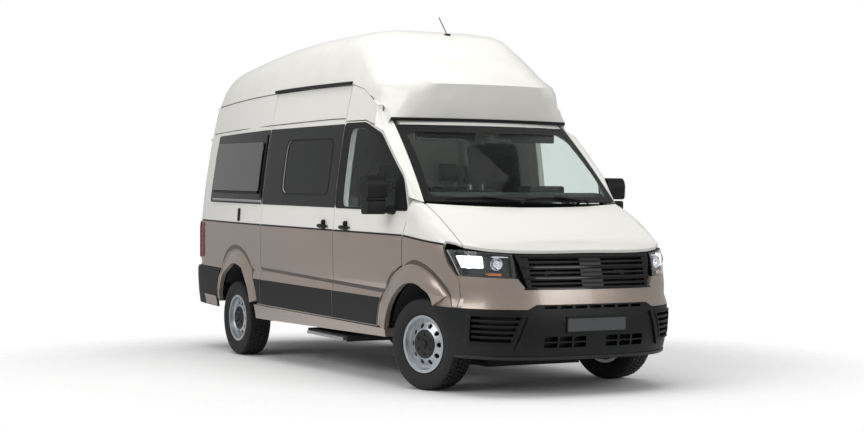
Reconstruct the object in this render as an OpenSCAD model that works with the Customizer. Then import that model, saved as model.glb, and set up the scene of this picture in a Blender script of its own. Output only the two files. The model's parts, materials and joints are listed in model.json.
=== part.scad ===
// Camper van with a moulded high roof, built level and set down on its wheels with a slight rake.
// Millimetres, +X forward, +Y to the left, +Z up, origin on the ground under the middle.

/* [Overall] */
// Distance between the front and rear axles
wheelbase = 3640; // [3000:1:4500]
// Front axle to the foremost point of the bumper
front_overhang = 1000; // [850:1:1300]
// Rear axle to the rearmost point of the rear bumper
rear_overhang = 1346; // [1100:1:1800]
// Width over the side cladding, without mirrors
body_width = 2040; // [1650:1:2500]
// Height of the roof crown on the level body
roof_top = 2940; // [2700:1:3500]
// Nose-down lean of the body on its springs, degrees
body_rake = 1.36; // [0:0.01:3]

/* [Shell] */
// Thickness of doors and side walls
wall = 50; // [30:1:80]
// Gap round every door and lid
shut_gap = 6; // [5:0.5:12]
// Gap between pieces that are fastened together
fit_gap = 0.5; // [0.3:0.1:0.9]
// Lower edge of the doors and the cladding
door_bottom = 477; // [440:1:520]
// Lower edge of the sills
sill_bottom = 345; // [300:1:380]
// Height of the belt line under the windows
belt_z = 1212; // [1150:1:1280]
// Height where the high roof meets the side walls
seam_z = 2430; // [2350:1:2500]
// Inward lean of the walls over the belt, per millimetre
upper_lean = 0.0573; // [0:0.0001:0.1]
// Growth of that lean with height
upper_bow = 0.0000662; // [0:0.0000001:0.0001]
// Radius of the rear body corners seen from above
corner_r = 160; // [110:1:220]
// Narrowing of the flanks towards the tail, one metre behind its start
tail_narrowing = 42; // [0:1:60]
// Forward lean of the rear face, per millimetre
tail_lean = 0.07; // [0:0.001:0.12]
// How far the rear bumper stands behind the doors
bumper_proud = 63; // [40:1:90]

/* [Openings] */
// Front edge of the cab doors, behind the front axle
door_front = 183; // [150:1:230]
// Width of the cab doors
cab_door_w = 1240; // [1100:1:1500]
// Width of the sliding door
slide_door_w = 1555; // [1300:1:1700]
// Top of the cab doors
cab_door_top = 2120; // [2050:1:2180]
// Radius of the wheel arches
arch_r = 453; // [420:1:500]
// Width of the flare round each arch
flare_w = 140; // [80:1:170]
// Half width of the rear doorway
rear_door_half = 720; // [620:1:760]
// Lower edge of the side panes
pane_bottom = 1510; // [1440:1:1600]
// Upper edge of the side panes
pane_top = 1975; // [1900:1:2020]
// Corner softness of the panes
pane_soft = 90; // [40:1:120]
// Thickness of the glass
glass_t = 8; // [4:1:12]
// Depth of the glass behind the outer skin
glass_inset = 6; // [2:1:20]

/* [Wheels] */
// Tyre radius
tyre_r = 350; // [320:1:420]
// Tyre width
tyre_w = 225; // [195:1:255]
// Outer face of the tyres from the middle of the van
tyre_face = 975; // [900:1:1000]
// Rim flange radius
rim_r = 219; // [190:1:245]
// Angle of the front wheels in the stored pose, degrees to the left
steer_rest = 15; // [-30:1:30]
// Steering pin from the middle of the van
kingpin_y = 700; // [660:1:715]
// Running clearance of pins and bores
run_gap = 0.3; // [0.3:0.05:0.6]

/* [Hinges] */
// Radius of the hinge pins
pin_r = 6; // [4:0.5:8]
// Depth of the cab door pins under the skin
pin_depth = 20; // [16:1:24]
// Cab door pins behind the door's front edge
pin_back = 36; // [30:1:46]
// How far the rear door pins stand behind the skin
rear_pin_out = 16; // [14:1:24]

/* [Hidden] */
$fn = 96;
half_w = body_width / 2;
front_end = (front_overhang + wheelbase + rear_overhang) / 2;
front_x = front_end - front_overhang;
rear_x = front_x - wheelbase;
rear_skin = -front_end + bumper_proud;
tail_s = rear_skin + corner_r;
rake_x = (front_x + rear_x) / 2;
hub_z = tyre_r;
tyre_y = tyre_face - tyre_w / 2;
door_f = front_x - door_front;
door_r = door_f - cab_door_w;
slide_r = door_r - slide_door_w;
taper_start = rear_x + 747;
nose_0 = front_x - 93;
// Height of each hub as the level body sees it
hub_f = hub_z + (front_x - rake_x) * sin(body_rake);
hub_b = hub_z + (rear_x - rake_x) * sin(body_rake);
arch_f = hub_f + 12;
arch_b = hub_b + 68;
flare_r = arch_r + flare_w;
// Shift that keeps the whole van centred over the origin after the rake
centre_shift = (620 + 560 - 2 * hub_z) / 2 * sin(body_rake) + rake_x * (1 - cos(body_rake));

// Height, inset of the side wall from the greatest half width
side_rows = [[300, 48], [345, 40], [470, 20], [478, 12], [716, 2], [786, 30], [828, 17], [1140, 6],
    [belt_z, 12]];
// Height, foremost point behind the front end
nose_rows = [[250, 53], [335, 38], [450, 8], [620, 0], [800, 38], [1060, 108], [1200, 193]];
// Heights of the facet rows on the side walls
wall_rows = [477, 716, 786, 828, 1140, belt_z, 1400, 1600, 1800, 2000, 2130, 2280, 2430];
// Foremost point of the high roof
lip_x = front_x - 543;

hub_face = tyre_y + 58;
hub_r = 32;
king_r = 14;
tower_z = 985;
pillar_z = 2076;
hood_half = 878;
pad_x = front_end + 2;
hood_pin_y = 690;
hood_pin_x = front_x + 135;
hood_pin_z = 1340;
scuttle_z = 1200;
step_x0 = door_r - 670;
step_x1 = door_r + 60;
step_z = 285;

function steps(a, b, n) = [for (k = [0 : n]) a + (b - a) * k / n];
function rows(z0, z1) = concat([z0], [for (z = wall_rows) if (z > z0 + 12 && z < z1 - 12) z], [z1]);
function clamp(v, a, b) = min(b, max(a, v));

// Half width of the level body at a height, before it narrows front and rear
function wall_half(z) = half_w - (z <= belt_z ? lookup(z, side_rows)
    : 12 + upper_lean * (z - belt_z) + upper_bow * pow(z - belt_z, 2));
function tail_taper(x) = tail_narrowing * pow(max(0, taper_start - x) / 1000, 1.5);
function cab_taper(x, z) = 55 * clamp((z - belt_z) / 190, 0, 1) * pow(max(0, x - front_x + 993) / 900, 2);
function nose_x(z) = front_end - lookup(z, nose_rows);
function round_nose(q) = pow(max(0, 1 - pow(clamp(q, 0, 1), 3)), 1 / 3);
// Drop of the roof line towards the tail
function camber(x) = 0.0000275 * pow(max(0, front_x - 1793 - x), 2);
function seam_at(x) = seam_z - 0.35 * camber(x);
function under_seam(x, z) = z < 2130 ? z : 2130 + (z - 2130) * (seam_at(x) - 2130) / (seam_z - 2130);
function lean_at(s, z) = tail_lean * max(0,
    z - 800) * clamp((rear_x - 150 - s) / (rear_x - 150 - tail_s), 0, 1);
function tail_mid(z) = wall_half(z) - tail_taper(tail_s) - corner_r;
function tail_x(y, z) = tail_s + lean_at(tail_s, z)
    - (abs(y) <= tail_mid(z) ? corner_r : sqrt(max(0, pow(corner_r, 2) - pow(abs(y) - tail_mid(z), 2))));
// Arc length round the corner to a given distance from the middle of the van
function tail_run(y, z) = y < tail_mid(z) ? corner_r * PI / 2 + tail_mid(z) - y
    : corner_r * PI / 180 * acos(clamp((y - tail_mid(z)) / corner_r, 0, 1));

// Right flank, u is x, i is the depth under the skin
function flank(x, z, i) = [x + lean_at(x, z),
    -(x > nose_0 ? wall_half(z) * round_nose((x - nose_0) / (nose_x(z) - nose_0)) - cab_taper(nose_0, z)
        : wall_half(z) - tail_taper(x) - cab_taper(x, z)) + i, z];
// Rear corner, u runs from 0 on the flank to 1 at the half width y
function corner(u, z, y, i) =
    let (s = u * tail_run(y, z), t = min(90, s / corner_r * 180 / PI), e = max(0, s - corner_r * PI / 2))
    [tail_s + lean_at(tail_s, z) - corner_r * sin(t) + i * sin(90 * u),
        -(tail_mid(z) + corner_r * cos(t) - e) + i * cos(90 * u), z];
// Rear face over y and z
function rear_face(y, z, i) = [tail_x(y, z) + i, y, z];
// Nose over y and z
function nose(y, z, i) = [nose_0 + (nose_x(z) - nose_0 - i) * round_nose(abs(y) / (wall_half(z) - i)), y, z];

// A closed panel between two depths of one surface
module panel(us, vs, f, i0, i1) {
    nu = len(us);
    nv = len(vs);
    n = nu * nv;
    pts = concat([for (u = us) for (v = vs) f(u, v, i0)], [for (u = us) for (v = vs) f(u, v, i1)]);
    at = function (a, b) a * nv + b;
    skin = [for (a = [0 : nu - 2]) for (b = [0 : nv - 2]) each
        [[at(a, b), at(a, b + 1), at(a + 1, b + 1)], [at(a, b), at(a + 1, b + 1), at(a + 1, b)]]];
    rim = concat([for (a = [0 : nu - 2]) [at(a, 0), at(a + 1, 0)]],
        [for (a = [0 : nu - 2]) [at(a + 1, nv - 1), at(a, nv - 1)]],
        [for (b = [0 : nv - 2]) [at(0, b + 1), at(0, b)]],
        [for (b = [0 : nv - 2]) [at(nu - 1, b), at(nu - 1, b + 1)]]);
    polyhedron(pts, concat(skin, [for (t = skin) [t[0] + n, t[2] + n, t[1] + n]],
        [for (e = rim) each [[e[0], e[1], e[1] + n], [e[0], e[1] + n, e[0] + n]]]), 6);
}

// A domed shell from right-hand half rings, each from the tail's middle to the nose's middle
module dome(outer, inner) {
    m = len(outer[0]) - 1;
    w = 2 * m;
    levels = len(outer);
    n = w * levels;
    full = function (h) concat(h, [for (k = [m - 1 : -1 : 1]) [h[k][0], -h[k][1], h[k][2]]]);
    pts = concat([for (h = outer) each full(h)], [for (h = inner) each full(h)]);
    at = function (l, k) l * w + (k % w);
    skin = [for (l = [0 : levels - 2]) for (k = [0 : w - 1]) each
        [[at(l, k), at(l + 1, k), at(l + 1, k + 1)], [at(l, k), at(l + 1, k + 1), at(l, k + 1)]]];
    top = levels - 1;
    cap = concat([[at(top, 1), at(top, 0), at(top, w - 1)]],
        [for (k = [1 : m - 2]) each [[at(top, k), at(top, w - k), at(top, k + 1)],
            [at(top, k + 1), at(top, w - k), at(top, w - k - 1)]]],
        [[at(top, m - 1), at(top, m + 1), at(top, m)]]);
    shell = concat(skin, cap);
    polyhedron(pts, concat(shell, [for (t = shell) [t[0] + n, t[2] + n, t[1] + n]],
        [for (k = [0 : w - 1]) each
            [[at(0, k), at(0, k + 1), at(0, k + 1) + n], [at(0, k), at(0, k + 1) + n, at(0, k) + n]]]), 6);
}

// A polygon drawn in x and z, made solid from y0 to y1
module across(pts, y0, y1) translate([0, y1, 0]) rotate([90, 0, 0]) linear_extrude(y1 - y0) polygon(pts);
// Corners of a polygon softened over the length d
function soft(p, d, n = 5) = [for (k = [0 : len(p) - 1])
    let (a = p[(k + len(p) - 1) % len(p)], b = p[(k + 1) % len(p)],
        s = p[k] + (a - p[k]) / norm(a - p[k]) * d, e = p[k] + (b - p[k]) / norm(b - p[k]) * d)
    for (t = steps(0, 1, n)) s * pow(1 - t, 2) + p[k] * 2 * t * (1 - t) + e * pow(t, 2)];
function box2(x0, x1, z0, z1) = [[x0, z0], [x1, z0], [x1, z1], [x0, z1]];
module block(x0, x1, y0, y1, z0, z1) translate([x0, y0, z0]) cube([x1 - x0, y1 - y0, z1 - z0]);
module rod_y(x, y0, y1, z, r) translate([x, y1, z]) rotate([90, 0, 0]) cylinder(r = r, h = y1 - y0);
module both() {
    children();
    mirror([0, 1, 0]) children();
}
// The body's frame: leaned about the middle of the wheelbase at hub height
module raked() translate([rake_x - centre_shift, 0, hub_z]) rotate([0, body_rake, 0])
    translate([-rake_x, 0, -hub_z]) children();
module on_road() translate([-centre_shift, 0, 0]) children();

// Outline of the cab door in x and z, grown by g
function door_line(g) = [[door_r - g, door_bottom - g], [door_f + g, door_bottom - g], [door_f + g, 1415],
    [door_f - 100 + g, 1660 + g], [front_x - 713 + g, 2025 + g], [front_x - 1043 + g / 2, cab_door_top + g],
    [door_r - g, cab_door_top + g]];
// Outline of the cab door's window
function door_pane(g) = soft([[door_r + 150 - g, pane_bottom - 95 - g], [door_f - 58 + g,
    pane_bottom - 95 - g],
    [door_f - 150 + g, 1640 + g], [front_x - 760 + g, 1965 + g], [front_x - 1000 + g, cab_door_top - 62 + g],
    [door_r + 150 - g, cab_door_top - 62 + g]], 40);
function slide_pane(g) = soft(box2(slide_r + 425 - g, door_r - 170 + g, pane_bottom - g, pane_top + g),
    pane_soft);
function rear_pane(g) = soft(box2(tail_s + 300 - g, slide_r - 60 + g, pane_bottom - g, pane_top + g),
    pane_soft);
module arch_cut(x, z, r) rod_y(x, -half_w - 100, -half_w + 380, z, r);
module wall_panel(x0, x1, z0, z1, n, i0 = 0, i1 = wall)
    panel(steps(x0, x1, n), rows(z0, z1), function (x, z, i) flank(x, under_seam(x, z), i), i0, i1);

// Flare ring round an arch, with a groove outside it: part of its width, part of its height
flare_line = [[0, 1], [0.3, 0.8], [0.72, 0.2], [0.86, -0.4], [0.95, -0.4], [1, 0]];
module flare(x, z, a0, a1) panel(steps(a0, a1, 15), [1, 0.95, 0.86, 0.72, 0.3, 0], function (a, q, i)
    let (r = arch_r + q * flare_w, p = flank(x + r * cos(a), z + r * sin(a), 0))
    [x + r * cos(a), p[1] - min(26, half_w + 3 + p[1]) * lookup(q, flare_line) + i, p[2]], 0, 40);

// Side wall behind the cab as far as the rear doorway; x0 is its front edge
module rear_wall(x0) difference() {
    panel(concat(steps(0, 1, 7), [for (x = steps(tail_s, x0, 10)) if (x > tail_s) x - tail_s + 1]),
        rows(door_bottom, seam_z), function (k, z, i) let (x = tail_s + max(0, k - 1), zz = under_seam(x, z))
        k > 1 ? flank(x, zz, i) : corner(1 - k, zz, rear_door_half + shut_gap, i), 0, wall);
    arch_cut(rear_x, arch_b, flare_r + fit_gap);
    block(-front_end - 50, rear_x - flare_r / 2, -half_w - 50, 0, 0, 758);
    across(rear_pane(0), -half_w, -half_w + 400);
}

module floor() color("#3a3c3f") raked() {
    difference() {
        union() {
            block(rear_skin + 150, rear_x - 200, -half_w + 240, half_w - 240, 560, 620);
            block(rear_x - 300, door_f - 90 - fit_gap, -half_w + 110, half_w - 110, 560, 620);
            for (x = steps(rear_skin + 250, door_f - 450, 7))
                let (y = half_w - (x < rear_x ? 240 : 110)) block(x, x + 60, -y, y, 505 + fit_gap, 570);
            for (x = steps(slide_r + 60, door_f - 450, 4))
                for (s = [-1, 1])
                    block(x, x + 60, s * half_w - s * 117.5 - 7.5, s * half_w - s * 117.5 + 7.5,
                        470 + fit_gap, 600);
            for (s = [-1, 1])
                let (a = s * 880, b = s * (wall_half(560) - wall - 1.5))
                    block(slide_r + 250, door_r - 20, min(a, b), max(a, b), 560, 620);
        }
        for (s = [-1, 1]) {
            translate([rear_x, s * (half_w - 165), arch_b]) rotate([90, 0, 0])
                cylinder(r = arch_r, h = 330, center = true);
            block(front_x - 455, front_x, s * half_w - (s > 0 ? 520 : 0), s * half_w + (s > 0 ? 0 : 520),
                400, 700);
        }
    }
    // Wheel houses: half tubes, the rear ones closed on their inner side
    both() {
        difference() {
            rod_y(rear_x, half_w - 340, half_w - 90, arch_b, arch_r + 12);
            rod_y(rear_x, half_w - 330, half_w, arch_b, arch_r);
            block(rear_x - 600, rear_x + 600, 0, half_w, -200, 620.5);
        }
        difference() {
            rod_y(front_x, 480.5, half_w - 72, arch_f, arch_r + 12);
            rod_y(front_x, 0, half_w, arch_f, arch_r + 3);
            block(front_x - 600, front_x + 600, 0, half_w, -200, arch_f + 120);
            block(front_x, front_x + 600, 0, half_w, -200, 718);
            translate([front_x, kingpin_y, 600]) cylinder(r = 60, h = 500);
        }
    }
}

module chassis_rails() color("#26282b") raked() {
    for (s = [-1, 1]) {
        block(rear_skin + 140, front_x - 600, s * 430 - 40, s * 430 + 40, 385, 505);
        block(front_x - 620, front_end - 190, s * 400 - 40, s * 400 + 40, 405, 505);
        // Inner wing and strut tower
        block(front_x - 220, front_x + 220, min(s * 400, s * 480), max(s * 400, s * 480), 495, 520);
        block(front_x - 220, front_x + 220, min(s * 455, s * 480), max(s * 455, s * 480), 510, tower_z + 18);
        block(front_x - 120, front_x + 120, min(s * 470, s * 770), max(s * 470, s * 770), tower_z,
            tower_z + 18);
        // Bracket of the front bumper
        block(front_end - 160, nose(530, 430, 48)[0] - fit_gap - 1.6, s * 500 - 30, s * 500 + 30, 430, 510);
    }
    block(front_end - 205, front_end - 155, -540, 540, 420, 520);
    // Slideway of the entry step
    block(step_x0 - 30, step_x1 + 30, -half_w + 110, -395, step_z + 42, step_z + 52);
    block(step_x0 - 30, step_x1 + 30, -465, -395, step_z + 42, 390);
    for (x = [step_x0 - 30, step_x1 + 10])
        difference() {
            block(x, x + 20, -half_w + 110, -420, step_z, step_z + 46);
            block(step_x0 - 10 - fit_gap, step_x1 + 10 + fit_gap, -half_w, 0, step_z + 12 - fit_gap,
                step_z + 28 + fit_gap);
        }
}

module entry_step() color("#b9bcbd") raked() {
    block(step_x0 + 4, step_x1 - 4, -half_w + 85, -half_w + 410, step_z + 8, step_z + 32);
    block(step_x0 - 10, step_x1 + 10, -half_w + 200, -half_w + 500, step_z + 12, step_z + 28);
}

module engine() color("#5b5e61") raked() {
    block(front_x + 150, front_x + 620, -320, 320, 520, 960);
    block(front_end - 205, front_end - 168, -350, 350, 520 + fit_gap, 980);
    for (s = [-1, 1])
        block(front_x + 250, front_x + 350, min(s * 310, s * 400), max(s * 310, s * 400), 505 + fit_gap, 560);
}

module underfloor_tanks() color("#1f2123") raked() {
    across(soft(box2(front_x - 1500, front_x - 750, 330, 505), 40), -385, 385);
    across(soft(box2(rear_x + 520, rear_x + 1500, 330, 505), 40), -388, 388);
}

module rear_axle() color("#2d2f31") on_road() {
    rod_y(rear_x, -720, 720, hub_z, 42);
    both() {
        rod_y(rear_x, 700, 730, hub_z, 150);
        rod_y(rear_x, 720, hub_face, hub_z, 60);
        rod_y(rear_x, hub_face - 5, hub_face + 45, hub_z, hub_r);
        block(rear_x - 60, rear_x + 60, 400, 460, hub_z + 20, down(rear_x + 60, 385) - fit_gap);
    }
}

// World height of a point of the level body
function down(x, z) = hub_z + (z - hub_z) * cos(body_rake) - (x - rake_x) * sin(body_rake);

module front_suspension() color("#2d2f31") on_road() {
    block(front_x - 140, front_x + 140, -420, 420, hub_z - 190, hub_z - 130);
    both() {
        for (x = [front_x - 130, front_x + 90])
            block(x, x + 40, 372, 428, hub_z - 140, down(x + 40, 405) - fit_gap);
        difference() {
            union() {
                block(front_x - 32, front_x + 32, 410, kingpin_y, hub_z - 178, hub_z - 142);
                translate([front_x, kingpin_y, hub_z - 182]) cylinder(r = 34, h = 44);
            }
            translate([front_x, kingpin_y, hub_z - 190]) cylinder(r = king_r + run_gap, h = 60);
        }
        difference() {
            translate([front_x, kingpin_y, hub_z + 138]) cylinder(r = 27, h = down(front_x,
                tower_z) - hub_z - 139);
            translate([front_x, kingpin_y, hub_z + 120]) cylinder(r = king_r + run_gap, h = 62);
        }
    }
}

// A knuckle on the left, turned by a about its pin
module knuckle(a) translate([front_x, kingpin_y, hub_z]) rotate([0, 0, a])
    translate([-front_x, -kingpin_y, -hub_z]) {
    block(front_x - 40, front_x + 40, kingpin_y - 28, kingpin_y + 28, hub_z - 130, hub_z + 130);
    translate([front_x, kingpin_y, hub_z - 175]) cylinder(r = king_r, h = 350);
    rod_y(front_x, kingpin_y, hub_face, hub_z, 60);
    rod_y(front_x, kingpin_y + 70, kingpin_y + 94, hub_z, 145);
    rod_y(front_x, hub_face - 5, hub_face + 45, hub_z, hub_r);
    block(front_x - 170, front_x - 30, kingpin_y - 24, kingpin_y + 6, hub_z - 70, hub_z - 40);
}
module left_knuckle() color("#3c3f42") on_road() knuckle(steer_rest);
module right_knuckle() color("#3c3f42") on_road() mirror([0, 1, 0]) knuckle(-steer_rest);

// Rim profile: radius, distance outward from the wheel's middle plane
rim_line = [[rim_r, 96], [rim_r, 86], [rim_r - 14, 84], [rim_r - 16, 40], [rim_r - 34, 30], [rim_r - 34, -30],
    [rim_r - 16, -50], [rim_r - 14, -84], [rim_r, -86], [rim_r, -96], [rim_r - 24, -96], [rim_r - 26, -48],
    [rim_r - 42, -24], [rim_r - 42, 14], [rim_r - 60, 36], [115, 66], [88, 60], [hub_r + run_gap, 60],
    [hub_r + run_gap, 72], [84, 72], [112, 78], [rim_r - 54, 50], [rim_r - 32, 48], [rim_r - 24, 60],
    [rim_r - 22, 96]];
// Tyre profile: radius, distance outward from the wheel's middle plane
tyre_line = [[rim_r - 16 + 2, 84 - 1], [rim_r - 14 + fit_gap, 84 - fit_gap], [rim_r + fit_gap, 84 - fit_gap],
    [rim_r + 14, 98], [rim_r + 48, 110], [rim_r + 70, tyre_w / 2], [rim_r + 95, 109], [tyre_r - 14, 102],
    [tyre_r - 4, 88], [tyre_r, 60], [tyre_r, -60], [tyre_r - 4, -88], [tyre_r - 14, -102], [rim_r + 95, -109],
    [rim_r + 70, -tyre_w / 2], [rim_r + 48, -110], [rim_r + 14, -98], [rim_r + fit_gap, -84 + fit_gap],
    [rim_r - 14 + fit_gap, -84 + fit_gap],
    [rim_r - 12, -60], [rim_r - 12, 60]];
// Turns a profile about the wheel's axle, which runs to the left
module turned(line) rotate([-90, 0, 0]) rotate_extrude() polygon(line);
module rim() difference() {
    turned(rim_line);
    for (a = [0 : 36 : 324])
        rotate([0, a, 0]) translate([142, 0, 0]) rotate([-90, 0, 0]) cylinder(r = 19, h = 120);
}
// A wheel on the left of the van, its front one turned by a
module at_front(a) translate([front_x, kingpin_y, hub_z]) rotate([0, 0, a])
    translate([0, tyre_y - kingpin_y, 0]) children();
module at_rear() translate([rear_x, tyre_y, hub_z]) children();
module front_left_rim() color("#b4b7b9") on_road() at_front(steer_rest) rim();
module front_right_rim() color("#b4b7b9") on_road() mirror([0, 1, 0]) at_front(-steer_rest) rim();
module rear_left_rim() color("#b4b7b9") on_road() at_rear() rim();
module rear_right_rim() color("#b4b7b9") on_road() mirror([0, 1, 0]) at_rear() rim();
module front_left_tyre() color("#161616") on_road() at_front(steer_rest) turned(tyre_line);
module front_right_tyre() color("#161616") on_road() mirror([0, 1,
    0]) at_front(-steer_rest) turned(tyre_line);
module rear_left_tyre() color("#161616") on_road() at_rear() turned(tyre_line);
module rear_right_tyre() color("#161616") on_road() mirror([0, 1, 0]) at_rear() turned(tyre_line);

// Windscreen surface: s across from -1 to 1, v up from 0 to 1
function screen(s, v, i) = [front_x + 101 - 663 * v - 160 * s * s + 100 * v * (1 - v) - i * 0.7,
    s * (885 - 79 * v) * half_w / 1020, 1469 + 616 * v - i * 0.7];
module windscreen() color("#20262a") raked()
    panel(steps(-0.996, 0.996, 14), steps(0.008, 0.9993, 7), function (s, v, i) screen(s, v, i), 2, 10);

// Firewall, scuttle shelf and the wall up to the windscreen
module cowl() color("#17181a") raked() {
    difference() {
        block(door_f - 90, door_f - 50, -half_w + 110, half_w - 110, 560, 1300);
        both() {
            rod_y(front_x, 479, half_w, arch_f, arch_r + 14);
            block(door_f - 100, door_f, 500, half_w, 500, 770);
        }
    }
    block(door_f - 90, front_x + 175, -half_w + 190, half_w - 190, scuttle_z, scuttle_z + 20);
    block(front_x + 155, front_x + 175, -half_w + 190, half_w - 190, scuttle_z - 70, scuttle_z + 10);
    panel(steps(-0.985, 0.985, 10), [0, 0.5, 1], function (s, v, i) let (p = screen(s, 0, 6))
        [p[0] - 190 * (1 - v) - i, p[1] * (0.97 + 0.03 * v),
        scuttle_z + 10 + (p[2] - scuttle_z - 12) * v - i * 0.2],
        0, 14);
    both() {
        block(hood_pin_x - 20, hood_pin_x + 20, hood_pin_y - 42, hood_pin_y - 14, scuttle_z + 10,
            hood_pin_z + 12);
        rod_y(hood_pin_x, hood_pin_y - 40, hood_pin_y + 24, hood_pin_z, pin_r);
    }
}

// Height of the bonnet along its edge, over x
hood_rows = [[front_x - 193, 1505], [front_x - 59, 1468], [front_x + 157, 1375], [front_x + 357, 1268],
    [front_x + 543, 1165], [front_x + 707, 1125], [front_x + 790, 1104], [front_x + 880, 1080]];
// Bonnet: u from its rear edge to its front edge, s across from -1 to 1
function hood(u, s, i) = let (y = s * hood_half, x0 = front_x + 101 - 160 * pow(s * hood_half / 885, 2) + 14,
    x1 = nose(abs(y), 1135, 14)[0], x = x0 + (x1 - x0) * u)
    [x, y, lookup(x, hood_rows) + 40 * (1 - s * s) - i];
module bonnet() color("#ecebe6") raked() {
    panel(concat(steps(0, 0.8, 8), [0.9, 0.96, 1]), steps(-1, 1, 14), function (u, s, i) hood(u, s, i),
        0, 22);
    both() difference() {
        union() {
            rod_y(hood_pin_x, hood_pin_y - 8, hood_pin_y + 8, hood_pin_z, 16);
            block(hood_pin_x - 14, hood_pin_x + 14, hood_pin_y - 8, hood_pin_y + 8, hood_pin_z,
                lookup(hood_pin_x, hood_rows) - 3);
        }
        rod_y(hood_pin_x, hood_pin_y - 20, hood_pin_y + 20, hood_pin_z, pin_r + run_gap);
    }
}

// Wing: x part u from the door to the lamp, v up from the bumper to the bonnet
function wing_front(v) = front_x + lookup(v, [[0, 555], [0.42, 552], [0.5, 525], [0.6, 440], [0.72, 378],
    [0.8, 384], [0.9, 470], [1, 530]]);
function wing(u, v, i) = let (x = door_f + shut_gap + (wing_front(v) - door_f - shut_gap) * u,
    ze = lookup(x, hood_rows) - 8, zs = max(960, ze - 190),
    p = flank(x, v < 0.6 ? 712 + (zs - 712) * v / 0.6 : zs, 0),
    a = max(0, v - 0.6) / 0.4 * 90, ye = hood_half + shut_gap)
    v <= 0.6 ? [x, p[1] + i, p[2]]
    : [x, -(ye + (-p[1] - ye) * cos(a)) + i * cos(a), zs + (ze - zs) * sin(a) - i * sin(a)];
module front_wings() color("#9c9285") raked() both() {
    difference() {
        panel(steps(0, 1, 10), [0, 0.16, 0.34, 0.42, 0.5, 0.6, 0.66, 0.72, 0.8, 0.9, 1],
            function (u, v, i) wing(u, v, i), 0, 22);
        arch_cut(front_x, arch_f, flare_r + fit_gap);
    }
    flare(front_x, arch_f, 42, 172);
}

// Nose round its plan curve: t from 0 on the right flank through 90 in the middle to 180
function bow(t, z, i) = [nose_0 + (nose_x(z) - nose_0 - i) * pow(sin(t), 2 / 3),
    -sign(cos(t)) * (wall_half(z) - i) * pow(abs(cos(t)), 2 / 3), z];
function panel_top(y) = lookup(abs(y), [[0, 848], [550, 848], [604, 927.3], [896, 937.3], [1000, 938]]);
// Upper edge of the bumper, higher in the middle
function notch(y) = lookup(abs(y), [[0, 742], [488, 742], [550, 706]]);
// Place round the nose that lies at the distance y from its middle
function bow_at(y) = acos(pow(y / wall_half(720), 1.5));
function right_left(h) = concat(h, [for (k = [len(h) - 2 : -1 : 0]) 180 - h[k]]);
half_bow = concat(steps(31, bow_at(604), 7), [bow_at(550), bow_at(488)], steps(bow_at(400), 90, 4));
half_bumper = concat(steps(12, bow_at(620), 8), [bow_at(550), bow_at(488)], steps(bow_at(400), 90, 4));
module front_panel() color("#9c9285") raked()
    panel(right_left(half_bow), steps(0, 1, 3), function (t, v, i)
        let (y = bow(t, 720, 0)[1], z0 = notch(y) + 0.6) bow(t, z0 + (panel_top(y) - z0) * v, i), 0, 25);
// Grille: three broad bars with a pair of slots between each
module grille() color("#1a1b1c") raked() difference() {
    panel(steps(-1, 1, 20), steps(0, 1, 4), function (s, v, i)
        nose(s * (526 + 70 * v), 848.6 + 253.4 * v, i), 4, 34);
    for (z = [868, 900, 946, 978, 1024, 1056])
        for (s = [-1, 1])
            along_x(box2(s * 300 - 205, s * 300 + 205, z, z + 18), front_x, front_end + 50);
}
module headlamps() color("#dfe4e8") raked() both()
    panel(steps(0, 1, 9), steps(0, 1, 5), function (u, v, i)
        nose(-(896 + 30 * v) + u * (290 + 26 * v) + i * 0.4,
        928 + 10 * (1 - u) + v * (172 + 18 * (1 - u)), i), 0, 45);
// Side vents: five slots between ribs, each shorter than the one above
vent_z = steps(470, 630, 4);
module front_bumper() color("#1a1b1c") raked() difference() {
    union() {
        panel(right_left(half_bumper), [335, 400, 460, 540, 620, 680, 706], function (t, z, i)
            bow(t, z < 700 ? z : notch(bow(t, 720, 0)[1]), i), 0, 48);
        // Flat pad for a number plate
        block(front_end - 45, pad_x, -262, 262, 538, 657);
    }
    both() arch_cut(front_x, arch_f, arch_r);
    both() for (z = vent_z)
        along_x(box2(660 - (z - 470) * 0.35, 890, z, z + 22), front_x, front_end + 50);
    // Grids of the upper and the lower intake
    for (y = steps(-375, 375, 6))
        along_x(box2(y - 50, y + 50, 712, 732), front_x, front_end + 50);
    for (s = [-1, 1])
        for (y = steps(140, 380, 2))
            for (z = [428, 474])
                along_x(box2(s * y - 52, s * y + 52, z, z + 36), front_x, front_end + 50);
}
module tail_lamps() color("#8e1a1c") raked() both()
    panel(steps(2 / 7, 6 / 7, 4), [836, 1140, 1195], function (u, z, i)
        corner(1 - u, z, rear_door_half + shut_gap, i), -12, -fit_gap);
module rear_bumper() color("#1a1b1c") raked() difference() {
    panel(concat(steps(-1.7, -1, 5), steps(-0.95, 0.95, 18), steps(1, 1.7, 5)), [372, 470, 620, 720, 752],
        function (k, z, i) let (a = abs(k), d = i < 0 ? i * clamp(6.4 * (0.957 - a), 0.08, 1) : i,
            p = a > 1 ? flank(tail_s + (a - 1) * 1000, z, d) : corner(1 - a, z, 0, d))
        [p[0], k < 0 ? -p[1] : p[1], z],
        -bumper_proud, 12);
    both() arch_cut(rear_x, arch_b, flare_r + 0.8);
}

module sills() color("#8f867b") raked() both() difference() {
    panel(steps(rear_x + 300, front_x - 300, 6), [0, 0.5, 1], function (x, v, i)
        let (z0 = sill_bottom + (x - slide_r) * sin(body_rake)) flank(x, z0 + (470 - z0) * v, i), 0, 110);
    arch_cut(rear_x, arch_b, arch_r + 30);
    arch_cut(front_x, arch_f, arch_r + 30);
}

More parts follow.
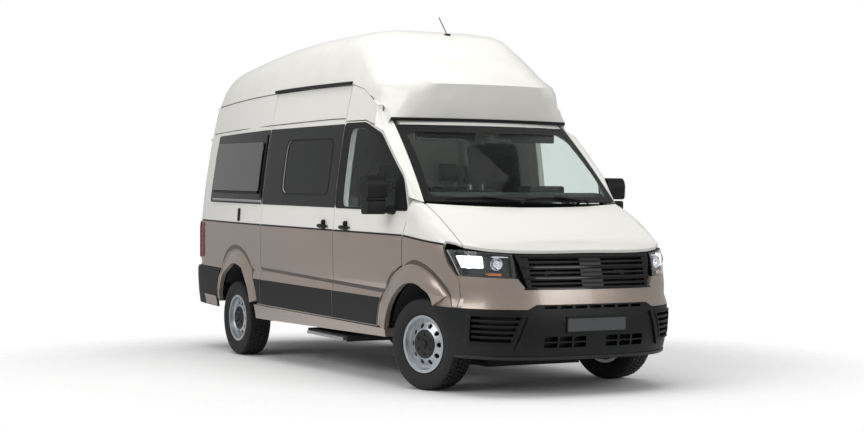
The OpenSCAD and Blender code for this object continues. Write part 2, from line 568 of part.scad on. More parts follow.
module right_side() color("#ecebe6") raked() {
    rear_wall(slide_r - shut_gap / 2);
    // Rail that carries the sliding door
    panel(steps(tail_s + 320, slide_r - 24, 4), [1408, 1436], function (x, z, i) flank(x, z, i), -10, -1.2);
    flare(rear_x, arch_b, 14, 172);
    rear_hinges_body();
}
module left_side() color("#ecebe6") raked() mirror([0, 1, 0]) {
    difference() {
        rear_wall(door_r - shut_gap / 2);
        across(slide_pane(0), -half_w, -half_w + 400);
    }
    flare(rear_x, arch_b, 14, 172);
    rear_hinges_body();
}
module sliding_door() color("#ecebe6") raked() difference() {
    wall_panel(slide_r + shut_gap / 2, door_r - shut_gap / 2, door_bottom, seam_z - 5, 2);
    across(slide_pane(0), -half_w, -half_w + 400);
}
module pane_glass(x0, x1, n) intersection() {
    wall_panel(x0, x1, pane_bottom - 150, pane_top + 100, n, glass_inset, glass_inset + glass_t);
    children();
}
module side_windows() color("#23282b") raked() {
    pane_glass(slide_r, door_r, 2) across(slide_pane(-fit_gap), -half_w, -half_w + 400);
    mirror([0, 1, 0]) pane_glass(slide_r, door_r, 2) across(slide_pane(-fit_gap), -half_w, -half_w + 400);
    both() pane_glass(tail_s, slide_r, 8) across(rear_pane(-fit_gap), -half_w, -half_w + 400);
}

// Local frame of the right rear door's hinge line, z along the pins
module rear_hinge() translate([rear_skin - rear_pin_out, -rear_door_half - shut_gap / 2, 800])
    rotate([0, atan(tail_lean), 0]) children();
rear_hinge_z = [220, 1180];
module rear_hinges_body() rear_hinge() for (z = rear_hinge_z) {
    translate([0, 0, z - 60]) cylinder(r = pin_r, h = 120);
    for (d = [-60, 28])
        block(-10, 62, -44, -shut_gap / 2, z + d, z + d + 32);
    for (d = [-60, 28])
        translate([0, 0, z + d]) cylinder(r = 10, h = 32);
}
module right_rear() difference() {
    union() {
        difference() {
            panel(steps(-shut_gap / 2, -rear_door_half, 6), rows(752 + shut_gap, rear_top), function (y, z, i)
                rear_face(y, z, i), 0, wall - 8);
            along_x(rear_door_pane(0), -front_end - 100, -front_end + 600);
        }
        rear_hinge() for (z = rear_hinge_z) {
            translate([0, 0, z - 26]) cylinder(r = 13, h = 52);
            block(0, 60, shut_gap / 2, 50, z - 26, z + 26);
        }
    }
    rear_hinge() for (z = rear_hinge_z)
        translate([0, 0, z - 70]) cylinder(r = pin_r + run_gap, h = 140);
}
rear_top = seam_at(rear_skin) - shut_gap - 10;
function rear_door_pane(g) = soft(box2(-rear_door_half + 110 - g, -90 + g, 1400 - g, 1990 + g), 70);
module along_x(pts, x0, x1) translate([x0, 0, 0]) rotate([90, 0, 90]) linear_extrude(x1 - x0) polygon(pts);
module rear_glass() intersection() {
    panel(steps(-50, -rear_door_half + 60, 3), rows(1380, 2010), function (y, z, i) rear_face(y, z, i),
        glass_inset, glass_inset + glass_t);
    along_x(rear_door_pane(-fit_gap), -front_end - 100, -front_end + 600);
}
module right_rear_door() color("#ecebe6") raked() right_rear();
module left_rear_door() color("#ecebe6") raked() mirror([0, 1, 0]) right_rear();
module right_rear_glass() color("#23282b") raked() rear_glass();
module left_rear_glass() color("#23282b") raked() mirror([0, 1, 0]) rear_glass();

// Cab door pins: a line at one place, at two heights
door_pin_x = door_f - shut_gap / 2 - pin_back;
door_pin_y = -(wall_half(1130) - pin_depth);
door_pin_z = [1045, 1170];
module right_cab_door() difference() {
    intersection() {
        wall_panel(door_r + shut_gap / 2, door_f - shut_gap / 2, door_bottom, cab_door_top, 6);
        across(door_line(-shut_gap / 2), -half_w - 50, 0);
    }
    across(door_pane(0), -half_w, -half_w + 400);
    arch_cut(front_x, arch_f, flare_r + shut_gap + 8);
    for (z = door_pin_z) {
        block(door_pin_x - 18, door_f + 20, door_pin_y - 10.5, door_pin_y + 200, z - 24, z + 24);
        translate([door_pin_x, door_pin_y, z - 60]) cylinder(r = pin_r + run_gap, h = 120);
    }
}
module right_front_door() color("#ecebe6") raked() right_cab_door();
module left_front_door() color("#ecebe6") raked() mirror([0, 1, 0]) right_cab_door();
module cab_glass() intersection() {
    wall_panel(door_r + 60, door_f - 20, pane_bottom - 140, cab_door_top - 20, 6, glass_inset,
        glass_inset + glass_t);
    across(door_pane(-fit_gap), -half_w, -half_w + 400);
}
module right_door_glass() color("#23282b") raked() cab_glass();
module left_door_glass() color("#23282b") raked() mirror([0, 1, 0]) cab_glass();

// Mirror: main head, wide-angle head below it and the foot that stands on the door
module right_mirror_shape() {
    across(soft([[front_x - 520, 1494], [front_x - 380, 1494], [front_x - 372, 1620], [front_x - 410, 1675],
        [front_x - 512, 1668]], 24), -half_w - 190, -half_w - 14);
    across(soft(box2(front_x - 508, front_x - 388, 1368, 1482), 24), -half_w - 184, -half_w - 22);
    block(front_x - 475, front_x - 420, -half_w - 130, -half_w - 50, 1470, 1510);
    block(front_x - 470, front_x - 430, -half_w - 90, flank(front_x - 470, 1345, 3)[1], 1345, 1420);
}
module right_mirror() color("#151617") raked() right_mirror_shape();
module left_mirror() color("#151617") raked() mirror([0, 1, 0]) right_mirror_shape();

// Part of the roof: k names a place round its plan, from the tail's middle to the nose's middle
roof_marks = concat([[0, 0]], [for (a = steps(90, 0, 5)) [1, a]],
    [for (q = concat(steps(0.12, 0.9, 7), [0.955, 1])) [2, q]], [for (k = [2 : 4]) for (q = steps(0.2, 1,
    4)) if (k > 2) [k, q]]);
// Height, half width, rear inset; ridge beside the brow: its place behind the lip and half width; crown of
// the brow
roof_rows = [[2133, 904, 0, 192, 832, 142], [2265, 879, 0, 127, 698, 127], [2360, 860, 0, 84, 611, 99],
    [2416, 848, 0, 59, 559, 87], [2505, 823, 9, 226, 531, 60], [2620, 795, 34, 390, 526, 60],
    [2735, 748, 88, 554, 522, 58], [2800, 706, 138, 647, 519, 54], [2846, 656, 200, 713, 517, 50],
    [2890, 566, 317, 850, 470, 42], [2920, 430, 516, 1000, 370, 34], [2936, 250, 800, 1150, 220, 24],
    [2940, 110, 900, 1300, 90, 12]];
function roof_col(z, c) = lookup(z, [for (r = roof_rows) [r[0], r[c]]]);
function roof_xy(k, z, i) = let (b = roof_col(z, 1) * half_w / 1020 - i, r = min(corner_r, b * 0.6), q = k[1],
    xr = rear_skin + tail_lean * (seam_z - 800) + roof_col(z, 2) + i, xc = lip_x - roof_col(z, 3),
    xs = xc - 400, yc = roof_col(z, 4) * half_w / 1020 - 0.6 * i)
    k[0] == 0 ? [xr - 14, 0]
    : k[0] == 1 ? let (x = xr + r * (1 - sin(q))) [x, -(b * roof_slim(max(x, tail_s)) - r * (1 - cos(q)))]
    : k[0] == 2 ? let (x = xr - i + r + (xs - xr + i - r) * q) [x, -b * roof_slim(max(x, tail_s))]
    : k[0] == 3 ? [xs + (xc - xs) * q - i * pow(q, 6), -b + (b - yc) * q * q]
    : [xc - i + roof_col(z, 5) * (1 - pow(1 - q, 2)), -yc * (1 - q)];
function roof_slim(x) = 1 - tail_taper(x) / 845;
// How far the roof's edge has dropped over the cab at a place round its plan
function edge_drop(k) = lookup(k[0] + k[1], [[2.9, 0], [2.955, 42], [3, 103], [3.2, 134], [3.4, 168],
    [3.6, 202],
    [3.8, 243], [4, 297]]);
// Lower rings follow the roof's edge up to the brow's upper edge
function roof_ring(j, i) = [for (k = roof_marks)
    let (e = seam_z - (k[0] < 2 ? 0 : edge_drop(k)), brow = lookup(e, [[2133, 2416], [seam_z, seam_z + 38]]),
        z = j < 3 ? e + (brow - e) * j / 3 : j == 3 ? brow : roof_rows[j][0],
        p = roof_xy(k, z, i), c = 0.35 + 0.65 * clamp((z - seam_z) / 510, 0, 1))
    [p[0], p[1], seam_z + (z - seam_z) * (z > seam_z ? (roof_top - seam_z) / 510 : 1) + fit_gap + 0.3 - c * camber(p[0])
        - (j > 3 ? i * clamp((z - 2450) / 300, 0, 1) : 0)]];
module high_roof() color("#f1f0ec") raked() difference() {
    dome([for (j = [0 : 12]) roof_ring(j, 0)], [for (j = [0 : 12]) roof_ring(j, roof_t)]);
    for (x = hatch_x)
        block(x - 350, x + 350, -250, 250, roof_top - 300, roof_top + 100);
    translate([mast_x, 0, roof_top - 200]) cylinder(r = 28, h = 300);
}
roof_t = 35;
hatch_x = [front_x - 2270, front_x - 3330];
mast_x = front_x - 1315;

module roof_fittings() color("#1b1c1d") raked() {
    for (x = hatch_x)
        translate([0, 0, roof_top - camber(x) - 60]) linear_extrude(68)
            polygon(soft(box2(x - 350 + fit_gap, x + 350 - fit_gap, -250 + fit_gap, 250 - fit_gap), 8));
    translate([mast_x, 0, roof_top - 125]) cylinder(r = 28 - fit_gap, h = 75);
    translate([mast_x, 0, roof_top - 60]) rotate([0, -43, 0]) cylinder(r = 4, h = 220);
    panel(concat([slide_r - 40], [for (e = edge_rows) if (e[0] > slide_r && e[0] < door_r - 20) e[0]],
        [door_r]),
        [seam_z + 4, seam_z + 28], function (x, z, i)
        [x, -roof_col(z, 1) * half_w / 1020 * roof_slim(x) + i, z - 0.35 * camber(x)], -22, -fit_gap);
}

// Pillars beside the windscreen, its header, the strips over the doors and the door pins
function pillar_x(z) = lookup(z, [[1415, door_f], [1660, door_f - 100], [2025, front_x - 713],
    [pillar_z, front_x - 890]]) + shut_gap + 6;
// v up to 1 beside the windscreen, from there to 2 up to the roof; q from the glass to the door
function pillar(v, q, i) = let (z0 = 1471 + 38 * q, z = v <= 1 ? z0 + (pillar_z - z0) * v
    : pillar_z + (v - 1) * (edge_at(front_x - 758 - 120 * q) - 9 - pillar_z), a = screen(-1,
    (z - 1469) / 616, 0),
    b = flank(pillar_x(z), z, 0), p = a + (b - a) * q, o = 60 * q * (1 - q))
    [p[0] + o * 0.5 + i * (1.2 * q - 0.9), p[1] - o * 0.8 + i * (0.1 + 0.8 * q), z];
edge_rows = [for (k = roof_marks) if (k[0] > 1) let (e = seam_z - edge_drop(k)) [roof_xy(k, e, 0)[0], e]];
function edge_at(x) = lookup(x, edge_rows);
module cab_frame() color("#ecebe6") raked() {
    both() {
        panel(concat(steps(0, 0.91, 6), [1, 1.5, 2]), steps(0, 1, 4), function (v, q, i) pillar(v, q, i),
            0, 42);
        panel(concat([door_r + shut_gap],
            [for (e = edge_rows) if (e[0] > door_r + 20 && e[0] < front_x - 900) e[0]],
            [front_x - 890 + shut_gap + 3]), steps(0, 1, 3), function (x, v, i)
            let (z0 = lookup(x, [[front_x - 1043, cab_door_top + shut_gap], [front_x - 890, pillar_z + 14]]),
                z1 = edge_at(x) - 0.35 * camber(x)) flank(x, z0 + (z1 - z0) * v, i), 0, wall);
        block(door_f - 110, door_f - 20, -half_w + 82, -half_w + 110 - fit_gap, 840, belt_z);
        // Lug for the wing
        block(door_f - 30, door_f + 60, -half_w + 82, -half_w + 110 - fit_gap, 1150, 1190);
        block(door_f + 20, door_f + 60, flank(door_f + 60, 1190, 22)[1] + fit_gap, -half_w + 100, 1150, 1190);
        for (z = door_pin_z) {
            block(door_pin_x - 9, door_pin_x + 9, door_pin_y, -half_w + 90, z - 18, z + 18);
            translate([door_pin_x, door_pin_y, z - 18]) cylinder(r = 9, h = 36);
            translate([door_pin_x, door_pin_y, z - 52]) cylinder(r = pin_r, h = 104);
        }
    }
    panel(steps(-0.945, 0.945, 12), [0, 1], function (s, v, i) screen(s, 1 + 0.0779 * v, i), 0, 40);
}

// Dashboard across the cab
module dashboard() color("#141516") raked() difference() {
    across(soft([[door_f - 420, 930], [door_f - 90 - fit_gap, 900], [door_f - 90 - fit_gap, 1340],
        [door_f - 160, 1400],
        [door_f - 340, 1375], [door_f - 430, 1250]], 35), -half_w + 125, half_w - 125);
    column() translate([0, 0, -220]) cylinder(r = 22 + run_gap, h = 300);
}
// Frame of the steering column, z towards the driver
module column() translate([door_f - 560, 420, 1290]) rotate([0, -62, 0]) children();
module steering_wheel() color("#121314") raked() column() {
    rotate_extrude() translate([195, 0]) circle(r = 15);
    for (a = [0, 120, 240])
        rotate([0, 0, a]) translate([20, -16, -9]) cube([168, 32, 16]);
    translate([0, 0, -40]) cylinder(r = 60, h = 52);
    translate([0, 0, -210]) cylinder(r = 22, h = 200);
}

seat_y = 420;
seat_x = door_f - 960;
module seat_bases() color("#2a2b2d") raked() {
    for (s = [-1, 1])
        block(seat_x - 320, seat_x + 260, s * seat_y - 220, s * seat_y + 220, 620 + fit_gap, 880);
    block(seat_x - 1220, seat_x - 640, 50, half_w - 190, 620 + fit_gap, 900);
}
// One seat on a base that ends at height z: pad, back, and head restraint on its posts
module seat(x, y, w, z) translate([x, y, z + fit_gap]) {
    across(soft([[-200, 0], [280, 0], [300, 90], [240, 130], [-200, 110]], 25), -w / 2, w / 2);
    across(soft([[-330, 0], [-200 - fit_gap, 0], [-200 - fit_gap, 140], [-300, 690], [-390, 700], [-420,
        660]], 25),
        -w / 2, w / 2);
    across(soft([[-420, 720], [-320, 710], [-345, 900], [-420, 910]], 25), -w / 4, w / 4);
    for (s = [-1, 1])
        translate([-365, s * 60, 680]) cylinder(r = 8, h = 60);
}
module cushions() color("#1d1e20") raked() {
    for (s = [-1, 1])
        seat(seat_x, s * seat_y, 480, 880);
    for (s = [-1, 1])
        seat(seat_x - 900, half_w - 580 + s * 200, 390, 900);
    across(soft(box2(rear_skin + 120, rear_x + 520, 1060.5, 1190), 40), -half_w + 210, half_w - 210);
}
module furniture() color("#c9c6bf") raked() {
    block(rear_skin + 120, rear_x + 520, -half_w + 345, half_w - 345, 620 + fit_gap, 1060);
    block(slide_r + 40, slide_r + 900, -half_w + 120, -half_w + 560, 620 + fit_gap, 1480);
    block(rear_x + 540, rear_x + 1120, 160, half_w - 220, 620 + fit_gap, 2250);
}

floor();
chassis_rails();
engine();
underfloor_tanks();
rear_axle();
front_suspension();
cowl();
sills();
right_side();
left_side();
sliding_door();
high_roof();
cab_frame();
windscreen();
front_wings();
front_panel();
grille();
front_bumper();
headlamps();
tail_lamps();
rear_bumper();
side_windows();
dashboard();
seat_bases();
cushions();
furniture();
roof_fittings();
bonnet();
right_front_door();
left_front_door();
right_door_glass();
left_door_glass();
right_mirror();
left_mirror();
right_rear_door();
left_rear_door();
right_rear_glass();
left_rear_glass();
entry_step();
steering_wheel();
right_knuckle();
left_knuckle();
front_right_rim();
front_left_rim();
rear_right_rim();
rear_left_rim();
front_right_tyre();
front_left_tyre();
rear_right_tyre();
rear_left_tyre();
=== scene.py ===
import bpy
import bmesh
import json
import math
from mathutils import Matrix, Vector


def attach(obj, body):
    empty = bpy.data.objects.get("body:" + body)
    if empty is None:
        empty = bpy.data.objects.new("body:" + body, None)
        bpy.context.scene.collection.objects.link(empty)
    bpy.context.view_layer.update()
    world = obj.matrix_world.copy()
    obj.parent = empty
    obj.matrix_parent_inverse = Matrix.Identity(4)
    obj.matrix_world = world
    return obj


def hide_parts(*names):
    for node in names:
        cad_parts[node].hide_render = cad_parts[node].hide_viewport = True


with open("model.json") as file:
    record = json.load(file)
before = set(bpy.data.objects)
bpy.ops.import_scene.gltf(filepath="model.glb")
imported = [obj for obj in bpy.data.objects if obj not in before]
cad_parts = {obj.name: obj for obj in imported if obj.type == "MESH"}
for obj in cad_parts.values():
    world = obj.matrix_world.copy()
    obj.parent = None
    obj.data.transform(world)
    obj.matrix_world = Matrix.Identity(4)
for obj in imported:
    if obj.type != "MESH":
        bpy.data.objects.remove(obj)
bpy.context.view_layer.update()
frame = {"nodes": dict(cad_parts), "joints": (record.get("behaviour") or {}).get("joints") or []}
nodes = frame["nodes"]
joints = {j["name"]: j for j in frame["joints"]}
scene = bpy.context.scene
scene.view_settings.view_transform = "Standard"

# The body leans nose-down on its springs: pieces are drawn level and leaned with it
frontHub = Vector(joints["left_steer"]["pos_m"])
rearHub = Vector(joints["rear_left_spin"]["pos_m"])
leanAxis = joints["right_front_door_hinge"]["axis"]
leanAngle = math.atan2(leanAxis[0], leanAxis[2])
midX = (frontHub.x + rearHub.x) / 2
levelMid = 0.173    # the same middle on the level body
lean = (Matrix.Translation((midX, 0, frontHub.z)) @ Matrix.Rotation(leanAngle, 4, "Y")
        @ Matrix.Translation((-levelMid, 0, -frontHub.z)))


def linear(hexText):
    values = [int(hexText[k:k + 2], 16) / 255 for k in (1, 3, 5)]
    return [v / 12.92 if v <= 0.04045 else ((v + 0.055) / 1.055) ** 2.4 for v in values] + [1]


def addNode(mat, kind, settings=None, **links):
    node = mat.node_tree.nodes.new("ShaderNode" + kind)
    for key, value in (settings or {}).items():
        if isinstance(key, int) or key in node.inputs:
            node.inputs[key].default_value = value
        else:
            setattr(node, key, value)
    for key, source in links.items():
        socket = int(key[1:]) if key[0] == "i" and key[1:].isdigit() else key.replace("_", " ")
        mat.node_tree.links.new(source, node.inputs[socket])
    return node


def newMaterial(name, **sockets):
    mat = bpy.data.materials.new(name)
    mat.use_nodes = True
    shader = mat.node_tree.nodes["Principled BSDF"]
    for key, value in sockets.items():
        shader.inputs[key.replace("_", " ")].default_value = value
    place = addNode(mat, "TexCoord").outputs["Object"]
    return mat, shader, place


def link(mat, source, shader, socket):
    mat.node_tree.links.new(source, shader.inputs[socket])


# A base colour mottled between two shades over a bumped grain, whose size and depth are in millimetres
grainLook = {"detail": 3, "strength": 0.6, "stops": (0.3, 0.7)}


def grainMaterial(name, grainMm, depthMm, dark, light, **sockets):
    mat, shader, place = newMaterial(name, **sockets)
    grain = addNode(mat, "TexNoise", {"Scale": 1000 / grainMm, "Detail": grainLook["detail"]}, Vector=place)
    bump = addNode(mat, "Bump", {"Strength": grainLook["strength"], "Distance": depthMm / 1000},
                   Height=grain.outputs["Fac"])
    link(mat, bump.outputs["Normal"], shader, "Normal")
    ramp = addNode(mat, "ValToRGB", Fac=grain.outputs["Fac"])
    for element, stop, colour in zip(ramp.color_ramp.elements, grainLook["stops"], (dark, light)):
        element.position = stop
        element.color = linear(colour)
    link(mat, ramp.outputs["Color"], shader, "Base Color")
    return mat


# Two-tone lacquer: white above the belt, metallic beige below, both under one clear coat
paint = {"white": "#e9e8e3", "beige": "#a5988e", "beigeDark": "#988b81"}


def twoToneLacquer(name, beltX, beltZ, fall):
    mat, shader, place = newMaterial(name, Roughness=0.3, IOR=1.5, Coat_Weight=0.6, Coat_Roughness=0.06)
    across = (lean.to_3x3() @ Vector((fall, 0, 1)))
    height = addNode(mat, "VectorMath", {"operation": "DOT_PRODUCT", 1: across}, i0=place)
    beltHeight = across.dot(lean @ Vector((beltX, 0, beltZ)))
    upper = addNode(mat, "Math", {"operation": "GREATER_THAN", 1: beltHeight}, i0=height.outputs["Value"])
    flake = addNode(mat, "TexNoise", {"Scale": 1000 / 4, "Detail": 2}, Vector=place)
    beige = addNode(mat, "Mix", {"data_type": "RGBA", 6: linear(paint["beigeDark"]), 7: linear(paint["beige"])},
                    Factor=flake.outputs["Fac"])
    colour = addNode(mat, "Mix", {"data_type": "RGBA", 7: linear(paint["white"])}, Factor=upper.outputs[0],
                     i6=beige.outputs[2])
    link(mat, colour.outputs[2], shader, "Base Color")
    metal = addNode(mat, "MapRange", {"To Min": 0.45, "To Max": 0.0}, Value=upper.outputs[0])
    link(mat, metal.outputs[0], shader, "Metallic")
    return mat


twoTone = twoToneLacquer("twoToneLacquer", 0, 1.212, 0)
wingLacquer = twoToneLacquer("wingLacquer", 1.81, 1.212, 0.081)    # the line falls towards the lamp

# White lacquer of the bonnet, with the faint orange peel of sprayed paint
whiteLacquer = grainMaterial("whiteLacquer", 7, 0.01, "#e7e6e1", "#ebeae5",
                             Roughness=0.3, Coat_Weight=0.6, Coat_Roughness=0.06)

# Black-printed glass round the panes: deep gloss
darkGlass = grainMaterial("printedGlass", 500, 0.2, "#0d0f10", "#121416", Roughness=0.1, IOR=1.42)

# Vacuum-plated reflector: bright, faintly rippled
chrome = grainMaterial("platedReflector", 14, 0.4, "#c9ccd0", "#dfe2e5", Roughness=0.12, Metallic=1.0)

# Amber acrylic of the turn lamps
amber = grainMaterial("amberAcrylic", 6, 0.5, "#c9671a", "#e08230", Roughness=0.15, IOR=1.49, Coat_Weight=0.4)

# Daylight lamp, lit: white with a little glow
litLamp = grainMaterial("opalDiffuser", 8, 0.2, "#f4f6f8", "#ffffff",
                        Roughness=0.3, Emission_Strength=2.4, Emission_Color=linear("#f6f9ff"))

# Silvered mirror glass
mirrorGlass = grainMaterial("silveredGlass", 300, 0.05, "#b9bec2", "#c4c9cc", Roughness=0.03, Metallic=1.0)

# Satin aluminium blank of the number plate, grey with a fine embossed grain
plateGrey = grainMaterial("plateSheet", 9, 0.1, "#4c4e51", "#57595c", Roughness=0.4, Metallic=0.2)

# Satin black lacquer: wipers, hub caps, lamp housings and other small black parts
satinBlack = grainMaterial("satinBlackEnamel", 3, 0.05, "#090a0b", "#0e0f10", Roughness=0.42, IOR=1.5)

# Gelcoat on the moulded roof: a warm white with faint ripple
gelcoat = grainMaterial("roofGelcoat", 260, 0.5, "#e6e5df", "#edece7",
                        Roughness=0.32, Coat_Weight=0.4, Coat_Roughness=0.1)

# Metallic beige lacquer on wings, nose and sills
beigeLacquer = grainMaterial("beigeLacquer", 4, 0.01, paint["beigeDark"], paint["beige"],
                             Roughness=0.3, Metallic=0.45, Coat_Weight=0.6, Coat_Roughness=0.06)

# The same lacquer darkened to a dark brown beige: painted shade and painted reflection of the ground, for the pressed
# crease
paintedShadeBeige = grainMaterial("creaseLacquer", 4, 0.01, "#4a423b", "#544b44",
                            Roughness=0.4, Metallic=0.3, Coat_Weight=0.4)

# Grained polypropylene: matt black with a fine leather-like grain
grained = grainMaterial("grainedPolypropylene", 5, 0.25, "#0c0d0e", "#131415", Roughness=0.5, IOR=1.38)

# Tinted acrylic panes: nearly black, polished
tinted = grainMaterial("tintedAcrylic", 400, 0.2, "#0a0c0d", "#101314",
                       Roughness=0.05, IOR=1.4, Transmission_Weight=0.2)

# Laminated glass: clear, faintly green, with a weak mirror image so that the dark cab shows through
clearGlass = grainMaterial("laminatedGlass", 500, 0.05, "#e3ebe8", "#e9efed",
                           Roughness=0.01, IOR=1.14, Transmission_Weight=1.0)

# Red polycarbonate of the tail lamps
redLens = grainMaterial("redPolycarbonate", 9, 0.6, "#4f0407", "#7c080b",
                        Roughness=0.15, IOR=1.45, Coat_Weight=0.2)

# Moulded interior plastic: charcoal, dull
interiorPlastic = grainMaterial("charcoalAbs", 4, 0.2, "#0d0e0f", "#141517", Roughness=0.6, IOR=1.53)

# Laminated cabinet board: pale grey with a faint grain along the van
board = grainMaterial("laminatedBoard", 30, 0.05, "#bdb9b1", "#c8c5bd", Roughness=0.45)

# Sprayed underbody coat: dull black, pebbled
underCoat = grainMaterial("underbodyWax", 12, 0.8, "#1a1b1c", "#26272a", Roughness=0.75)

# Cast aluminium: pale grey, sandy
castAlloy = grainMaterial("castAluminium", 3, 0.2, "#6f7275", "#85888b", Roughness=0.5, Metallic=0.9)

# Blow-moulded polyethylene tanks
tankPlastic = grainMaterial("blownPolyethylene", 20, 0.4, "#141516", "#1c1d1f", Roughness=0.5)

# Anodised aluminium of the step
anodised = grainMaterial("anodisedAluminium", 2, 0.1, "#a9acae", "#babdbf", Roughness=0.38, Metallic=0.9)

# Silver lacquer on pressed steel wheels
wheelSilver = grainMaterial("silverLacquer", 3, 0.03, "#adb0b3", "#bcbfc2",
                            Roughness=0.36, Metallic=0.7, Coat_Weight=0.3)

# Tyre rubber: warm black, slightly dusty
rubber = grainMaterial("tyreRubber", 6, 0.2, "#0e0e10", "#161618", Roughness=0.72, IOR=1.52)

# Seat cloth: charcoal weave
seatCloth = grainMaterial("seatTwill", 4, 0.6, "#0f1012", "#18191c", Roughness=0.9)

# Clear polycarbonate lamp cover
lampClear = grainMaterial("clearPolycarbonate", 60, 0.05, "#f4f6f8", "#fbfcfd",
                          Roughness=0.02, IOR=1.3, Transmission_Weight=1.0)

finishes = {
    twoTone: ["right_side", "left_side", "sliding_door", "cab_frame", "right_front_door", "left_front_door",
              "right_rear_door", "left_rear_door"],
    whiteLacquer: ["bonnet"],
    wingLacquer: ["front_wings"],
    gelcoat: ["high_roof"],
    beigeLacquer: ["front_panel", "sills"],
    grained: ["cowl", "grille", "front_bumper", "rear_bumper", "roof_fittings", "right_mirror", "left_mirror"],
    tinted: ["side_windows", "right_rear_glass", "left_rear_glass"],
    clearGlass: ["windscreen", "right_door_glass", "left_door_glass"],
    lampClear: ["headlamps"],
    redLens: ["tail_lamps"],
    interiorPlastic: ["dashboard", "steering_wheel", "seat_bases"],
    seatCloth: ["cushions"],
    board: ["furniture"],
    underCoat: ["floor", "chassis_rails", "rear_axle", "front_suspension", "left_knuckle", "right_knuckle"],
    castAlloy: ["engine"],
    tankPlastic: ["underfloor_tanks"],
    anodised: ["entry_step"],
    wheelSilver: ["front_right_rim", "front_left_rim", "rear_right_rim", "rear_left_rim"],
    rubber: ["front_right_tyre", "front_left_tyre", "rear_right_tyre", "rear_left_tyre"],
}
for mat, names in finishes.items():
    for name in names:
        nodes[name].data.materials.clear()
        nodes[name].data.materials.append(mat)


# Facets of the CAD skins read as one smooth surface, with true edges kept sharp
mergeDistance = 0.0003


def skinModifier(name, degrees):
    group = bpy.data.node_groups.new(name, "GeometryNodeTree")
    group.interface.new_socket("Geometry", in_out="INPUT", socket_type="NodeSocketGeometry")
    group.interface.new_socket("Geometry", in_out="OUTPUT", socket_type="NodeSocketGeometry")
    kinds = {"groupIn": "NodeGroupInput", "merge": "GeometryNodeMergeByDistance",
             "angle": "GeometryNodeInputMeshEdgeAngle", "sharp": "FunctionNodeCompare",
             "faces": "GeometryNodeSetShadeSmooth", "edges": "GeometryNodeSetShadeSmooth",
             "groupOut": "NodeGroupOutput"}
    part = {key: group.nodes.new(kind) for key, kind in kinds.items()}
    part["merge"].inputs["Distance"].default_value = mergeDistance
    part["sharp"].operation = "GREATER_THAN"
    part["sharp"].inputs["B"].default_value = math.radians(degrees)
    part["faces"].domain = "FACE"
    part["edges"].domain = "EDGE"
    part["edges"].inputs["Shade Smooth"].default_value = False
    for a, b, socket in (("groupIn", "merge", 0), ("merge", "faces", 0), ("faces", "edges", 0),
                         ("edges", "groupOut", 0), ("angle", "sharp", "A"), ("sharp", "edges", "Selection")):
        group.links.new(part[a].outputs[0], part[b].inputs[socket])
    return group


smoothSkin = skinModifier("smoothSkin", 26)
softSkin = skinModifier("softSkin", 62)    # the moulded roof has no sharp edge
for name, node in nodes.items():
    node.modifiers.new("skin", "NODES").node_group = softSkin if name == "high_roof" else smoothSkin
print("finishes set on", len(nodes), "nodes")

# The level body's own surfaces, in metres, so that trim lies on the skin
van = {"halfWidth": 1.02, "frontX": 1.993, "rearX": -1.647, "belt": 1.212, "doorFront": 1.81, "doorRear": 0.57,
       "slideRear": -0.985, "tailStart": -2.77, "noseStart": 1.9, "frontEnd": 2.993, "archRear": 0.3748,
       "archFront": 0.4052, "flareRadius": 0.593}
sideRows = [(0.300, 0.048), (0.345, 0.040), (0.470, 0.020), (0.478, 0.012), (0.716, 0.002), (0.786, 0.030),
            (0.828, 0.017), (1.140, 0.006), (1.212, 0.012)]
noseRows = [(0.250, 0.053), (0.335, 0.038), (0.450, 0.008), (0.620, 0.0), (0.800, 0.038), (1.060, 0.108),
            (1.200, 0.193)]
skin = {"tumble": 0.0573, "curl": 0.0662, "taper": 0.055, "taperRise": 0.19, "taperStart": 0.993, "taperRun": 0.9,
        "narrowing": 0.042, "narrowStart": 0.747, "tailSlope": 0.07, "slopeFoot": 0.8, "slopeStart": 0.15,
        "tailX": -2.930}
windscreen = {"footAhead": 0.101, "footZ": 1.469, "rake": 0.663, "rise": 0.616, "sweep": 0.16, "belly": 0.1,
              "half": 0.885, "narrowing": 0.079, "tilt": 0.7}


def lookup(rows, value):
    for (a, fa), (b, fb) in zip(rows, rows[1:]):
        if value <= b:
            return fa + (fb - fa) * max(0.0, value - a) / (b - a)
    return rows[-1][1]


def clamp(value):
    return min(1.0, max(0.0, value))


def steps(a, b, count):
    return [a + (b - a) * k / count for k in range(count + 1)]


def wallHalf(z):
    rise = max(0.0, z - van["belt"])
    return van["halfWidth"] - lookup(sideRows, z) - skin["tumble"] * rise - skin["curl"] * rise ** 2


def noseX(z):
    return van["frontEnd"] - lookup(noseRows, z)


def roundNose(q):
    return max(0.0, 1 - clamp(q) ** 3) ** (1 / 3)


def cabTaper(x, z):
    rise = clamp((z - van["belt"]) / skin["taperRise"])
    return skin["taper"] * rise * (max(0.0, x - van["frontX"] + skin["taperStart"]) / skin["taperRun"]) ** 2


def flankY(x, z):
    if x > van["noseStart"]:
        q = (x - van["noseStart"]) / (noseX(z) - van["noseStart"])
        return wallHalf(z) * roundNose(q) - cabTaper(van["noseStart"], z)
    behind = max(0.0, van["rearX"] + skin["narrowStart"] - x)
    return wallHalf(z) - skin["narrowing"] * behind ** 1.5 - cabTaper(x, z)


def tailLean(x, z):
    start = van["rearX"] - skin["slopeStart"]
    return skin["tailSlope"] * max(0.0, z - skin["slopeFoot"]) * clamp((start - x) / (start - van["tailStart"]))


def onFlank(side, x, z, lift):
    return Vector((x + tailLean(x, z), side * (flankY(x, z) + lift), z))


def flankOf(side):
    return lambda x, z, lift: onFlank(side, x, z, lift)


def onNose(y, z, lift):
    reach = noseX(z) - van["noseStart"] + lift
    return Vector((van["noseStart"] + reach * roundNose(abs(y) / (wallHalf(z) + lift)), y, z))


